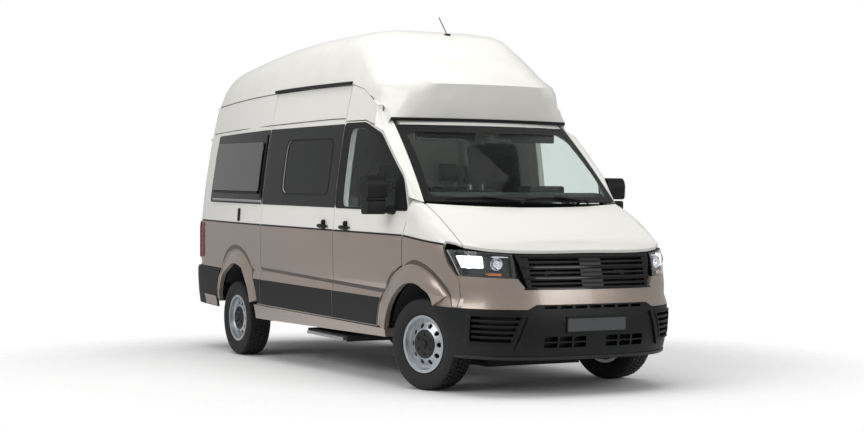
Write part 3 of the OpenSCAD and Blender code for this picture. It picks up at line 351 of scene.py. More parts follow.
def noseOf(side):
    return lambda y, z, lift: Vector((1, side, 1)) * onNose(y, z, lift)


def onScreen(s, v, lift):
    out = windscreen["tilt"] * lift
    return Vector((van["frontX"] + windscreen["footAhead"] - windscreen["rake"] * v - windscreen["sweep"] * s * s
                   + windscreen["belly"] * v * (1 - v) + out,
                   s * (windscreen["half"] - windscreen["narrowing"] * v),
                   windscreen["footZ"] + windscreen["rise"] * v + out))


def onTail(y, z, lift):
    return Vector((skin["tailX"] + skin["tailSlope"] * max(0.0, z - skin["slopeFoot"]) - lift, y, z))


def rounded(points, reach, count=5):
    out = []
    for k, corner in enumerate(points):
        corner = Vector(corner)
        back = (Vector(points[k - 1]) - corner).normalized() * reach
        ahead = (Vector(points[(k + 1) % len(points)]) - corner).normalized() * reach
        for t in steps(0, 1, count):
            out.append(corner + back * (1 - t) ** 2 + ahead * t ** 2)
    return out


def rectangle(x0, x1, z0, z1):
    return [(x0, z0), (x1, z0), (x1, z1), (x0, z1)]


def cut(outline, soft):
    points = rectangle(*outline) if isinstance(outline[0], (int, float)) else outline
    return rounded(points, soft) if soft else points


def shrunk(outline, share):
    middle = sum(outline, Vector((0, 0))) / len(outline)
    return [middle + (p - middle) * share for p in outline]


# A flat blank is cut out, split into cells, given its thickness and bent onto a surface
def laid(at, outline, lifts, hole=None, cell=0.08):
    bm = bmesh.new()
    edges = []
    for loop in [outline, hole] if hole else [outline]:
        verts = [bm.verts.new((p[0], p[1], 0)) for p in loop]
        edges += [bm.edges.new((verts[k - 1], v)) for k, v in enumerate(verts)]
    if hole:
        bmesh.ops.bridge_loops(bm, edges=edges)
    else:
        bmesh.ops.contextual_create(bm, geom=edges)
    for normal in (Vector((1, 0, 0)), Vector((0, 1, 0))):
        values = [v.co.dot(normal) for v in bm.verts]
        for value in steps(min(values), max(values), max(2, round((max(values) - min(values)) / cell)))[1:-1]:
            bmesh.ops.bisect_plane(bm, geom=bm.verts[:] + bm.edges[:] + bm.faces[:], dist=0.00001,
                                   plane_co=normal * value, plane_no=normal)
    bmesh.ops.triangulate(bm, faces=[f for f in bm.faces if len(f.verts) > 4])
    bmesh.ops.solidify(bm, geom=bm.faces[:], thickness=1)
    for v in bm.verts:
        v.co = lean @ at(v.co.x, v.co.y, lifts[0 if abs(v.co.z) < 0.5 else 1])
    return bm


def strip(left, right, rows):
    return [Vector((left(z), z)) for z in rows] + [Vector((right(z), z)) for z in reversed(rows)]


def level(x):
    return lambda z: x


def tube(points, radii, sides=8):
    bm = bmesh.new()
    points = [lean @ Vector(p) for p in points]
    last = len(points) - 1
    rings = []
    for k, p in enumerate(points):
        along = (points[min(k + 1, last)] - points[max(k - 1, 0)]).normalized()
        turn = along.to_track_quat("Z", "X" if abs(along.x) < 0.7 else "Y").to_matrix().to_4x4()
        ring = bmesh.ops.create_circle(bm, segments=sides, radius=radii[k], cap_ends=k in (0, last),
                                       matrix=Matrix.Translation(p) @ turn)["verts"]
        rings.append(list({e for v in ring for e in v.link_edges}))
    for a, b in zip(rings, rings[1:]):
        bmesh.ops.bridge_loops(bm, edges=a + b)
    return bm


def lathe(profile, matrix, count):
    bm = bmesh.new()
    verts = [bm.verts.new((0, h, r)) for r, h in profile]
    edges = [bm.edges.new(pair) for pair in zip(verts, verts[1:])]
    bmesh.ops.spin(bm, geom=verts + edges, cent=(0, 0, 0), axis=(0, 1, 0), angle=2 * math.pi, steps=count,
                   use_merge=True)
    bmesh.ops.remove_doubles(bm, verts=bm.verts, dist=0.00002)
    bm.transform(matrix)
    return bm


def softBlock(low, high, width, count=4):
    bm = bmesh.new()
    low, high = Vector(low), Vector(high)
    bmesh.ops.create_cube(bm, size=1,
                          matrix=Matrix.Translation((low + high) / 2) @ Matrix.Diagonal((*(high - low), 1)))
    bmesh.ops.bevel(bm, geom=bm.edges[:], offset=width, affect="EDGES", segments=count, profile=0.5,
                    material=-1)
    bm.transform(lean)
    return bm


def joined(parts):
    bm = bmesh.new()
    for part in parts:
        mesh = bpy.data.meshes.new("joining")
        part.to_mesh(mesh)
        part.free()
        bm.from_mesh(mesh)
        bpy.data.meshes.remove(mesh)
    return bm


edgeAngles = {"sharp": 35, "bevelled": 40}    # degrees


def piece(bm, name, mat, body="body", slot="black_plastic", edge=0.0012, segments=2):
    bmesh.ops.recalc_face_normals(bm, faces=bm.faces)
    mesh = bpy.data.meshes.new(name)
    bm.to_mesh(mesh)
    bm.free()
    mesh.materials.append(mat)
    mesh.shade_smooth()
    mesh.set_sharp_from_angle(angle=math.radians(edgeAngles["sharp"]))
    obj = bpy.data.objects.new(name, mesh)
    scene.collection.objects.link(obj)
    if edge:
        rim = obj.modifiers.new("edge", "BEVEL")
        rim.width = edge
        rim.segments = segments
        rim.limit_method = "ANGLE"
        rim.angle_limit = math.radians(edgeAngles["bevelled"])
        rim.use_clamp_overlap = True
    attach(obj, body)
    return obj


sides = {"right": -1, "left": 1}
gap = 0.009    # trim stops this far from a shut line
flareGap = 0.024    # and the door's cladding this far from the front flare


# A blank laid on a surface as one piece; four numbers stand for a rectangle
def trim(name, at, mat, outline, lifts, soft=0, hole=None, cell=0.08, **more):
    return piece(laid(at, cut(outline, soft), lifts, hole, cell), name, mat, **more)


def trimBothSides(specs, surfaceOf, bodyEnd=None):
    for sideName, side in sides.items():
        body = sideName + bodyEnd if bodyEnd else "body"
        for name, spec in specs.items():
            trim(sideName + name, surfaceOf(side), body=body, **spec)


def archHalf(z, archZ):
    return math.sqrt(van["flareRadius"] ** 2 - (z - archZ) ** 2)


def behindRearArch(z):
    return van["rearX"] - archHalf(z, van["archRear"]) - gap


def aheadOfRearArch(z):
    return van["rearX"] + archHalf(z, van["archRear"]) + gap


def behindFrontArch(z):
    return van["frontX"] - archHalf(z, van["archFront"]) - flareGap


# Panels of each side: name, body, rear and front edge
runs = {"right": [("Rear", "body", van["tailStart"], van["slideRear"] - gap),
                  ("Slide", "body", van["slideRear"] + gap, van["doorRear"] - gap),
                  ("Door", "right_front_door", van["doorRear"] + gap, van["doorFront"] - gap)],
        "left": [("Rear", "body", van["tailStart"], van["doorRear"] - gap),
                 ("Door", "left_front_door", van["doorRear"] + gap, van["doorFront"] - gap)]}

# Black cladding along the lower side, and the black belt line between the two colours
cladding = {"rows": [0.487, 0.54, 0.60, 0.66, 0.711], "lifts": (0.003, -0.002)}
beltLine = {"rows": [1.2050, 1.2190], "wingStart": 0.014, "wingEnd": 2.38, "fall": 0.081,
            "look": {"mat": grained, "lifts": (0.0025, -0.002), "edge": 0.0006}}
for sideName, side in sides.items():
    at = flankOf(side)
    for run, body, x0, x1 in runs[sideName]:
        rear = aheadOfRearArch if run == "Rear" else level(x0)
        front = behindFrontArch if run == "Door" else level(x1)
        trim(sideName + run + "Cladding", at, grained, strip(rear, front, cladding["rows"]), cladding["lifts"],
             body=body)
        trim(sideName + run + "BeltLine", at, outline=strip(level(x0), level(x1), beltLine["rows"]), body=body,
             **beltLine["look"])
    falling = lambda x, z, lift: onFlank(side, x, z - beltLine["fall"] * (x - van["doorFront"]), lift)
    wing = strip(level(van["doorFront"] + beltLine["wingStart"]), level(beltLine["wingEnd"]), beltLine["rows"])
    trim(sideName + "WingBeltLine", falling, outline=wing, cell=0.03, **beltLine["look"])
print("cladding and belt line laid on")

# Dark glazing: a flush panel round each pane of the living space; the rear pane is hinged and stands proud with its
# lower rail and front guide, the other has a thin frame
paneRear = cut((-2.47, -1.045, 1.51, 1.975), 0.09)
paneSlide = cut((-0.56, 0.40, 1.51, 1.975), 0.09)
glazing = {
    "RearGlazing": {"mat": darkGlass, "outline": [(-2.55, 1.40), (-0.990, 1.40), (-0.990, 2.085), (-2.53, 2.05)],
                    "soft": 0.03, "lifts": (0.003, -0.002), "hole": paneRear, "slot": "tinted_glass"},
    "SlideGlazing": {"mat": darkGlass, "outline": [(-0.980, 1.40), (0.5655, 1.40), (0.5655, 2.10), (-0.980, 2.085)],
                     "soft": 0.012, "lifts": (0.003, -0.002), "hole": paneSlide, "slot": "tinted_glass"},
    "HingedPane": {"mat": tinted, "outline": (-2.462, -1.06, 1.515, 1.972), "soft": 0.06, "lifts": (0.026, 0.004),
                   "slot": "tinted_glass", "edge": 0.004},
    "PaneRail": {"mat": grained, "outline": (-2.43, -1.09, 1.497, 1.513), "lifts": (0.03, 0.003), "edge": 0.003},
    "PaneGuide": {"mat": grained, "outline": (-1.048, -1.022, 1.46, 2.04), "lifts": (0.012, 0.002), "edge": 0.003},
    "PaneFrame": {"mat": grained, "outline": (-0.574, 0.414, 1.496, 1.989), "soft": 0.1, "lifts": (0.006, -0.001),
                  "hole": paneSlide, "edge": 0.002},
}
trimBothSides(glazing, flankOf)

# Slide rail of the sliding door: bright cap over a black foot
slideRailCap = {"outline": (-2.44, -1.012, 1.419, 1.433), "lifts": (0.015, 0.0102), "edge": 0.002}
slideRailFoot = {"outline": (-2.44, -1.012, 1.404, 1.416), "lifts": (0.013, -0.001), "edge": 0.002}
trim("slideRailCap", flankOf(-1), anodised, slot="step_alloy", **slideRailCap)
trim("slideRailFoot", flankOf(-1), grained, **slideRailFoot)

# Black frame round the cab door's window, broad at its rear, with the sail that carries the mirror
cabPane = cut([(0.72, 1.415), (1.752, 1.415), (1.66, 1.64), (1.233, 1.965), (0.993, 2.058), (0.72, 2.058)], 0.06)
cabWindow = {
    "DoorFrame": {"mat": grained, "soft": 0.045, "lifts": (0.003, -0.002), "hole": cabPane,
                  "outline": [(0.5745, 1.397), (1.800, 1.397), (1.703, 1.65), (1.274, 2.010), (0.962, 2.108),
                              (0.5745, 2.108)]},
    "DoorSail": {"mat": grained, "outline": [(1.60, 1.408), (1.775, 1.408), (1.665, 1.655), (1.60, 1.70)],
                 "soft": 0.02, "lifts": (0.007, -0.004), "edge": 0.003},
}
trimBothSides(cabWindow, flankOf, "_front_door")
print("glazing and door frames laid on")

# Door handles: a bar bowed off the skin over a shallow cup, with a round lock above
handle = {"half": 0.088, "bow": 0.03, "root": 0.002, "thin": 0.005, "thick": 0.012, "z": 1.243, "cup": 0.05,
          "cupSides": 24, "cupLifts": (0.004, -0.002), "lockX": 0.01, "lockZ": 0.03,
          "lockDepths": (-0.002, 0.016, 0.024, 0.026), "lockRadii": [0.024, 0.024, 0.018, 0.008]}
for name, side, x, body in [("slide", -1, 0.374, "body"), ("rightDoor", -1, 0.800, "right_front_door"),
                            ("leftDoor", 1, 0.800, "left_front_door")]:
    z = handle["z"]
    spans = steps(-1, 1, 14)
    bow = [max(0.0, 1 - u * u) ** 0.5 for u in spans]
    line = [onFlank(side, x + handle["half"] * u, z, handle["root"] + handle["bow"] * b) for u, b in zip(spans, bow)]
    bar = tube(line, [handle["thin"] + handle["thick"] * b for b in bow], 12)
    lock = tube([onFlank(side, x + handle["lockX"], z + handle["lockZ"], d) for d in handle["lockDepths"]],
                handle["lockRadii"], 20)
    turns = steps(0, 2 * math.pi * (1 - 1 / handle["cupSides"]), handle["cupSides"] - 1)
    rim = [Vector((x + handle["cup"] * math.cos(t), z + 0.5 * (handle["cup"] * math.sin(t)))) for t in turns]
    cup = laid(flankOf(side), rim, handle["cupLifts"])
    piece(joined([bar, lock, cup]), name + "Handle", grained, body, edge=0)

# Small flap bar above the rear wheel, red side of each tail lamp, painted tail of each rear bumper end
flapBar = {"outline": (-1.595, -1.550, 1.232, 1.352), "soft": 0.012, "lifts": (0.012, -0.002), "edge": 0.003}
trim("flapBar", flankOf(-1), grained, **flapBar)
rearEnds = {
    "LampSide": {"mat": redLens, "outline": (-2.764, -2.690, 0.846, 1.188), "soft": 0.012, "lifts": (0.008, -0.002),
                 "slot": "red_lens", "edge": 0.003},
    "BumperTail": {"mat": beigeLacquer, "outline": strip(level(-2.62), behindRearArch, [0.380, 0.43, 0.478]),
                   "lifts": (0.013, 0.003), "slot": "beige_paint", "edge": 0.004},
}
trimBothSides(rearEnds, flankOf)

# Rubber line along the roof's seam, dropping over the cab door, and the black lip under the brow
roofSeam = {"rear": -2.74, "front": 0.4, "top": 2.43, "camber": 0.35 * 0.0275, "camberStart": 0.2, "radius": 0.0035,
            "lift": 0.001, "drop": [(0.60, 2.43), (0.815, 2.388), (0.951, 2.327), (1.030, 2.289)],
            "gutter": [(-2.75, 2.076), (-1.9, 2.100), (-0.997, 2.122), (-0.3, 2.136), (0.3, 2.146), (0.558, 2.145)]}
browLip = {"corner": 1.258, "half": 0.832, "crown": 0.142, "undercut": 0.4, "bend": 2.133, "thinning": 0.8,
           "blank": {"outline": (-1, 1, 2.116, 2.141), "lifts": (0.010, -0.012), "cell": 0.05, "edge": 0.002}}


def onLip(s, z, lift):
    fade = 1 - browLip["thinning"] * abs(s) ** 8
    back = browLip["undercut"] * max(0.0, browLip["bend"] - z)
    return Vector((browLip["corner"] + browLip["crown"] * (1 - s * s) - back + lift * fade, browLip["half"] * s, z))


seam = [(x, roofSeam["top"] - roofSeam["camber"] * max(0.0, roofSeam["camberStart"] - x) ** 2)
        for x in steps(roofSeam["rear"], roofSeam["front"], 18)] + roofSeam["drop"]
for sideName, side in sides.items():
    for name, run in (("RoofSeal", seam), ("Gutter", roofSeam["gutter"])):
        piece(tube([onFlank(side, x, z, roofSeam["lift"]) for x, z in run], [roofSeam["radius"]] * len(run)),
              sideName + name, rubber, slot="tyre_rubber", edge=0)
trim("browLip", onLip, grained, **browLip["blank"])

# Painted shade on the pressed creases: a dark strip along the undercut between the wheel arches and a dark crescent
# round each flare, where the real skin is shaded
creaseShade = {"rows": [0.798, 0.812, 0.826], "fall": 0.018, "fallStart": 1.086, "rear": -1.02, "front": 1.50,
          "shortest": 0.1, "radius": 0.594, "thin": 0.002, "deep": 0.034, "swell": 1.6, "count": 20,
          "look": {"mat": paintedShadeBeige, "lifts": (0.0012, -0.001), "slot": "beige_paint", "edge": 0}}


# Outline of a painted shade crescent round a flare, widest over its top
def shadeCrescent(x, z, first, last):
    turns = [math.radians(t) for t in steps(first, last, creaseShade["count"])]
    fade = [min(1.0, math.sin(math.pi * k / creaseShade["count"]) * creaseShade["swell"]) for k in range(creaseShade["count"] + 1)]
    inner = [creaseShade["radius"]] * len(turns)
    outer = [creaseShade["radius"] + creaseShade["thin"] + creaseShade["deep"] * f * math.sin(t) for t, f in zip(turns, fade)]
    ring = list(zip(turns, outer)) + list(zip(reversed(turns), inner))
    return [Vector((x + r * math.cos(t), z + r * math.sin(t))) for t, r in ring]


# Lay the painted shade strips and crescents on both sides
for sideName, side in sides.items():
    dipped = lambda x, z, lift: onFlank(side, x, z - creaseShade["fall"] * (x + creaseShade["fallStart"]), lift)
    for run, body, x0, x1 in runs[sideName]:
        rear = creaseShade["rear"] if run == "Rear" else x0
        front = creaseShade["front"] if run == "Door" else x1
        if front - rear > creaseShade["shortest"]:
            trim(sideName + run + "Crease", dipped, outline=strip(level(rear), level(front), creaseShade["rows"]),
                 body=body, **creaseShade["look"])
    rearArch = (van["rearX"], van["archRear"])
    frontArch = (van["frontX"], van["archFront"])
    for name, body, arch, first, last in (("RearArch", "body", rearArch, 28, 152),
                                          ("WingArch", "body", frontArch, 30, 104.5),
                                          ("DoorArch", sideName + "_front_door", frontArch, 117, 150)):
        trim(sideName + name + "Crease", flankOf(side), outline=shadeCrescent(*arch, first, last), cell=0.05, body=body,
             **creaseShade["look"])

# Filler panels behind the joints at the lamp's corner and under the brow's corner
fillers = {
    "CornerFiller": {"mat": beigeLacquer, "outline": (2.33, 2.68, 0.700, 0.940), "lifts": (-0.006, -0.010),
                     "cell": 0.03, "slot": "beige_paint", "edge": 0},
    "BrowFiller": {"mat": whiteLacquer, "soft": 0.01, "lifts": (-0.060, -0.065), "cell": 0.04, "slot": "white_paint",
                   "edge": 0, "outline": [(1.06, 2.12), (1.22, 2.09), (1.26, 2.14), (1.16, 2.24), (1.05, 2.27)]},
}
trimBothSides(fillers, flankOf)
print("handles, seals and lamps' sides laid on")

# Head lamps: dark housing, plated cells, lit daylight lamp and amber bar behind a clear cover
lampShape = cut([(0.606, 0.928), (0.912, 0.938), (0.955, 1.130), (0.610, 1.100)], 0.016)
headlamp = {"cover": {"lifts": (0.0005, -0.0025), "cell": 0.03, "edge": 0.001},
            "back": {"lifts": (-0.040, -0.045), "cell": 0.03},
            "bezel": {"lifts": (-0.003, -0.040), "cell": 0.05, "hole": shrunk(lampShape, 0.86)}, "toeOut": 0.3,
            "cells": [("Dip", 0.850, 1.040, 0.046, litLamp), ("Main", 0.708, 1.032, 0.042, lampClear)],
            "bars": {"AmberBar": (amber, (0.69, 0.77, 0.946, 0.964), (-0.016, -0.038)),
                     "LitBar": (litLamp, (0.795, 0.900, 1.000, 1.086), (-0.010, -0.036)),
                     "StripBar": (chrome, (0.626, 0.74, 1.078, 1.088), (-0.012, -0.036))}}
for sideName, side in sides.items():
    at = noseOf(side)
    cover = trim(sideName + "LampCover", at, lampClear, lampShape, slot="lamp_lens", **headlamp["cover"])
    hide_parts("headlamps")
    trim(sideName + "LampBack", at, satinBlack, lampShape, **headlamp["back"])
    trim(sideName + "LampBezel", at, satinBlack, lampShape, **headlamp["bezel"])
    facing = Vector((1, headlamp["toeOut"] * side, 0)).normalized().to_track_quat("Y", "Z").to_matrix().to_4x4()
    for cell, y, z, r, bulbMat in headlamp["cells"]:
        spot = lean @ Matrix.Translation(at(y, z, headlamp["back"]["lifts"][0])) @ facing
        bowl = [(0.0001, 0.004), (0.35 * r, 0.005), (0.75 * r, 0.014), (r, 0.030), (r + 0.004, 0.030),
                (0.8 * r, 0.010), (0.36 * r, 0.001), (0.0001, 0.0)]
        bulb = [(0.0001, 0.026), (0.16 * r, 0.025), (0.34 * r, 0.018), (0.42 * r, 0.006), (0.0001, 0.005)]
        piece(lathe(bowl, spot, 40), sideName + cell + "Reflector", chrome, slot="lamp_lens", edge=0)
        piece(lathe(bulb, spot, 32), sideName + cell + "Bulb", bulbMat, slot="lamp_lens", edge=0)
    for name, (mat, box, lifts) in headlamp["bars"].items():
        trim(sideName + name, at, mat, box, lifts, 0.006, cell=0.03, slot="lamp_lens", edge=0.002)
print("head lamps built")

# Grille: gloss edges along its broad bars, and dark backs behind every opening of the nose
grille = {"barRows": [(0.850, 0.860), (0.928, 0.938), (1.006, 1.016), (1.084, 1.090)], "barHalf": 0.56,
          "barLifts": (0.004, -0.003), "slots": [0.868, 0.900, 0.946, 0.978, 1.024, 1.056], "slotHalf": 0.093,
          "slotHigh": 0.018, "slotLifts": (0.0008, -0.002)}
noseBacks = {"grilleBack": {"outline": (-0.59, 0.59, 0.80, 1.10), "lifts": (-0.075, -0.079)},
             "bumperBack": {"outline": (-0.86, 0.86, 0.37, 0.755), "lifts": (-0.062, -0.066)}}
cornerBack = {"mat": satinBlack, "outline": (0.57, 0.90, 0.72, 1.13), "soft": 0.02, "lifts": (-0.052, -0.056)}
half = grille["barHalf"]
for k, (z0, z1) in enumerate(grille["barRows"]):
    edgeBar = rounded(rectangle(-half, half, z0, z1), 0.003, 3)
    trim("grilleEdge%d" % k, onNose, darkGlass, edgeBar, grille["barLifts"], edge=0.001)
half = grille["slotHalf"]
for k, z in enumerate(grille["slots"]):
    slot = (-half, half, z, z + grille["slotHigh"])
    trim("grilleSlot%d" % k, onNose, satinBlack, slot, grille["slotLifts"], edge=0)
for name, spec in noseBacks.items():
    trim(name, onNose, satinBlack, soft=0.02, **spec)
trimBothSides({"CornerBack": cornerBack}, noseOf)

# Bumper: raised frame round each side vent, a slanting bar beside it, and the lip below
vent = cut([(0.640, 0.455), (0.905, 0.455), (0.905, 0.667), (0.572, 0.667)], 0.02)
bumperTrim = {
    "VentFrame": {"mat": grained, "outline": vent, "hole": shrunk(vent, 0.9), "lifts": (0.010, -0.004), "cell": 0.04,
                  "edge": 0.003},
    "BumperBar": {"mat": grained, "outline": [(0.600, 0.415), (0.642, 0.415), (0.552, 0.678), (0.508, 0.678)],
                  "soft": 0.012, "lifts": (0.014, -0.004), "cell": 0.04, "edge": 0.005},
}
trimBothSides(bumperTrim, noseOf)
bumperLip = {"outline": (-0.92, 0.92, 0.338, 0.362), "lifts": (0.006, -0.006), "cell": 0.05, "edge": 0.003}
trim("bumperLip", onNose, satinBlack, **bumperLip)

# Blank number plate with a folded edge, on the bumper's pad
padFace = 2.9947
numberPlate = {"outline": (-0.26, 0.26, 0.541, 0.645), "soft": 0.008, "cell": 0.2, "edge": 0}
plateRim = {"lifts": (0.00055, 0.0001), "hole": cut((-0.254, 0.254, 0.547, 0.639), 0.006)}
onPad = lambda y, z, lift: Vector((padFace + lift, y, z))
trim("numberPlate", onPad, plateGrey, lifts=(0.00045, 0), **numberPlate)
trim("numberPlateRim", onPad, satinBlack, **plateRim, **numberPlate)

# Windscreen: black print round its edge, and two wipers parked along its foot
screenPrint = {"outline": (-0.992, 0.992, 0.008, 0.992), "soft": 0.03, "lifts": (0.0012, -0.0008),
               "hole": cut((-0.925, 0.925, 0.075, 0.90), 0.06), "slot": "clear_glass", "edge": 0}
trim("screenPrint", onScreen, satinBlack, **screenPrint)
wipers = {"left": (0.62, -0.06), "right": (-0.12, -0.80)}
wiper = {"foot": 0.012, "armReach": 0.55, "armRise": 0.05, "armLift": 0.020, "armRadius": 0.011, "armTaper": 0.004,
         "bladeStart": 0.1, "bladeReach": 0.9, "bladeFoot": 0.042, "bladeBow": 0.02, "bladeLift": 0.008,
         "bladeRadius": 0.0055, "knob": [(0.0, 0.020), (0.022, 0.019), (0.032, 0.010)]}
for name, (pivot, tip) in wipers.items():
    reach = steps(0, 1, 12)
    span = tip - pivot
    arm = tube([onScreen(pivot + span * wiper["armReach"] * t, wiper["foot"] + wiper["armRise"] * t, wiper["armLift"])
                for t in reach], [wiper["armRadius"] - wiper["armTaper"] * t for t in reach], 10)
    blade = tube([onScreen(pivot + span * (wiper["bladeStart"] + wiper["bladeReach"] * t),
                           wiper["bladeFoot"] + wiper["bladeBow"] * math.sin(math.pi * t), wiper["bladeLift"])
                  for t in reach], [wiper["bladeRadius"]] * len(reach), 8)
    knob = tube([onScreen(pivot, wiper["foot"], lift) for lift, r in wiper["knob"]],
                [r for lift, r in wiper["knob"]], 16)
    piece(joined([arm, blade, knob]), name + "Wiper", satinBlack, edge=0)

# Door mirrors: main head over a wide-angle foot, each with its glass, on one arm
mirrorShells = {
    "MirrorHead": {"outline": [(1.475, 1.494), (1.613, 1.494), (1.621, 1.620), (1.585, 1.675), (1.481, 1.668)],
                   "lifts": (1.038, 1.2085)},
    "MirrorFoot": {"outline": [(1.485, 1.368), (1.600, 1.368), (1.605, 1.482), (1.485, 1.482)],
                   "lifts": (1.044, 1.2025)},
}
mirrorGlasses = {"MirrorGlass": {"outline": (1.062, 1.186, 1.515, 1.650), "lifts": (0.003, 0.0)},
                 "WideGlass": {"outline": (1.068, 1.180, 1.390, 1.462), "lifts": (-0.008, -0.012)}}
mirrorArm = {"line": [(1.548, 1.13, 1.425), (1.556, 1.06, 1.412), (1.575, 1.00, 1.400), (1.60, 0.955, 1.398)],
             "radii": [0.030, 0.028, 0.030, 0.036]}
mirrorGlassX = 1.4755
for sideName, side in sides.items():
    body = sideName + "_front_door"
    sideways = lambda x, z, lift: Vector((x, side * lift, z))
    shells = [trim(sideName + name, sideways, grained, soft=0.030, body=body, edge=0.022, segments=4, **spec)
              for name, spec in mirrorShells.items()]
    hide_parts(sideName + "_mirror")
    piece(tube([(x, side * y, z) for x, y, z in mirrorArm["line"]], mirrorArm["radii"], 16), sideName + "MirrorArm",
          grained, body, edge=0)
    backwards = lambda y, z, lift: Vector((mirrorGlassX - lift, side * y, z))
    for name, spec in mirrorGlasses.items():
        trim(sideName + name, backwards, mirrorGlass, soft=0.02, body=body, slot="clear_glass", edge=0.001, **spec)
print("nose, screen and mirrors dressed")

# Wheels: treaded tyres in place of the CAD's, and black hub caps with their bolt heads
tyre = {"profile": [(0.2195, 0.0835), (0.233, 0.098), (0.250, 0.1055), (0.267, 0.110), (0.289, 0.1125),
                    (0.300, 0.1115), (0.314, 0.109), (0.328, 0.105), (0.3375, 0.100), (0.3405, 0.090)],
        "inside": [(0.2195, 0.0835), (0.235, 0.070), (0.270, 0.090), (0.320, 0.080), (0.328, 0.0), (0.320, -0.080),
                   (0.270, -0.090), (0.235, -0.070), (0.2195, -0.0835)],
        "blocks": 66, "rows": [(-0.088, -0.052), (-0.043, -0.006), (0.003, 0.040), (0.049, 0.088)],
        "rowHeights": [0.3470, 0.3494, 0.3494, 0.3470], "floor": 0.3405, "root": 0.337, "fill": 0.74, "slant": 0.28,
        "taperAbove": 0.345, "taper": 0.9}
hubCap = {"profile": [(0.0001, 0.1000), (0.026, 0.0995), (0.034, 0.0965), (0.038, 0.0905), (0.070, 0.0900),
                      (0.098, 0.0880), (0.107, 0.0835), (0.110, 0.0780), (0.110, 0.0730), (0.0001, 0.0730)],
          "bolt": [(0.0001, 0.0985), (0.008, 0.0980), (0.0130, 0.0950), (0.0130, 0.0800), (0.0001, 0.0800)],
          "bolts": 6, "boltRing": 0.074}
wheels = {"frontLeft": "front_left", "frontRight": "front_right", "rearLeft": "rear_left", "rearRight": "rear_right"}
for name, stem in wheels.items():
    spin = joints[stem + "_spin"]
    outward = -1 if "right" in stem else 1
    axis = Vector(spin["axis"]) * outward
    place = Matrix.Translation(spin["pos_m"]) @ axis.to_track_quat("Y", "Z").to_matrix().to_4x4()
    inner = [(r, -h) for r, h in reversed(tyre["profile"])]
    casing = lathe(tyre["profile"] + [(tyre["floor"], 0)] + inner, place, 96)
    inside = lathe(tyre["inside"], place, 48)
    blocks = bmesh.new()
    for k, ((h0, h1), top) in enumerate(zip(tyre["rows"], tyre["rowHeights"])):
        arc = math.pi * top / tyre["blocks"] * tyre["fill"]
        middle = Matrix.Translation((0, (h0 + h1) / 2, (top + tyre["root"]) / 2))
        one = bmesh.ops.create_cube(blocks, size=1, matrix=middle
                                    @ Matrix.Diagonal((2 * arc, h1 - h0, top - tyre["root"], 1)))["verts"]
        for v in one:
            v.co.x += tyre["slant"] * (v.co.y - (h0 + h1) / 2) * (1 if k % 2 else -1)
            if v.co.z > tyre["taperAbove"]:
                v.co.x *= tyre["taper"]
        turn = Matrix.Rotation(math.pi / tyre["blocks"] * (k % 2), 3, "Y")
        bmesh.ops.rotate(blocks, verts=one, cent=(0, 0, 0), matrix=turn)
        bmesh.ops.spin(blocks, geom=one + list({f for v in one for f in v.link_faces}), cent=(0, 0, 0),
                       axis=(0, 1, 0), angle=2 * math.pi * (1 - 1 / tyre["blocks"]), steps=tyre["blocks"] - 1,
                       use_duplicate=True)
    blocks.transform(place)
    treaded = piece(joined([casing, inside, blocks]), name + "Tyre", rubber, stem + "_wheel", "tyre_rubber", edge=0)
    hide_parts(stem + "_tyre")
    cap = [lathe(hubCap["profile"], place, 48)]
    for k in range(hubCap["bolts"]):
        angle = 2 * math.pi * k / hubCap["bolts"]
        seat = place @ Matrix.Rotation(angle, 4, "Y") @ Matrix.Translation((0, 0, hubCap["boltRing"]))
        cap.append(lathe(hubCap["bolt"], seat, 6))
    piece(joined(cap), name + "HubCap", satinBlack, stem + "_wheel", edge=0)
print("tyres and hub caps turned")

# Padded seats and bed: each form is cut a little small, swollen by pressure and held to its cap
padding = {"shrink": 0.009, "cap": 0.008, "pressure": 4.0, "frames": 20, "quality": 5, "mass": 0.3, "soft": 0.035,
           "cushion": [(-0.200, 0.0), (0.280, 0.0), (0.300, 0.090), (0.240, 0.130), (-0.200, 0.110)],
           "back": [(-0.330, 0.0), (-0.2005, 0.0), (-0.2005, 0.140), (-0.300, 0.690), (-0.390, 0.700),
                    (-0.420, 0.660)],
           "headrest": [(-0.420, 0.720), (-0.320, 0.710), (-0.345, 0.900), (-0.420, 0.910)],
           "voxels": {"cushion": 0.012, "back": 0.012, "headrest": 0.009, "mattress": 0.03},
           "channelAt": 0.27, "channelHalf": 0.014, "channelDeep": 0.006}
# Each seat: name, x, y and z of its foot, width
seats = [("driver", 0.85, 0.42, 0.880, 0.48), ("passenger", 0.85, -0.42, 0.880, 0.48),
         ("rearInner", -0.05, 0.24, 0.900, 0.39), ("rearOuter", -0.05, 0.64, 0.900, 0.39)]
mattress = {"x": (-2.81, -1.127), "width": 1.62, "z": (1.0605, 1.19), "soft": 0.03}


def drawnIn(points, inset):
    middle = sum((Vector(p) for p in points), Vector((0, 0))) / len(points)
    spread = [max(abs(p[k] - middle[k]) for p in points) for k in (0, 1)]
    return [Vector([middle[k] + (p[k] - middle[k]) * (1 - inset / spread[k]) for k in (0, 1)]) for p in points]


def cutForm(name, points, middleY, width, soft):
    spread = width / 2 - padding["shrink"]
    bm = laid(lambda x, z, lift: Vector((x, middleY + lift, z)), rounded(drawnIn(points, padding["shrink"]), soft),
              (-spread, spread), cell=0.06)
    return piece(bm, name, seatCloth, "body", "seat_fabric", edge=0)


def evaluated():
    graph = bpy.context.evaluated_depsgraph_get()
    return {name: bpy.data.meshes.new_from_object(pad.evaluated_get(graph)) for name, (pad, *_) in pads.items()}


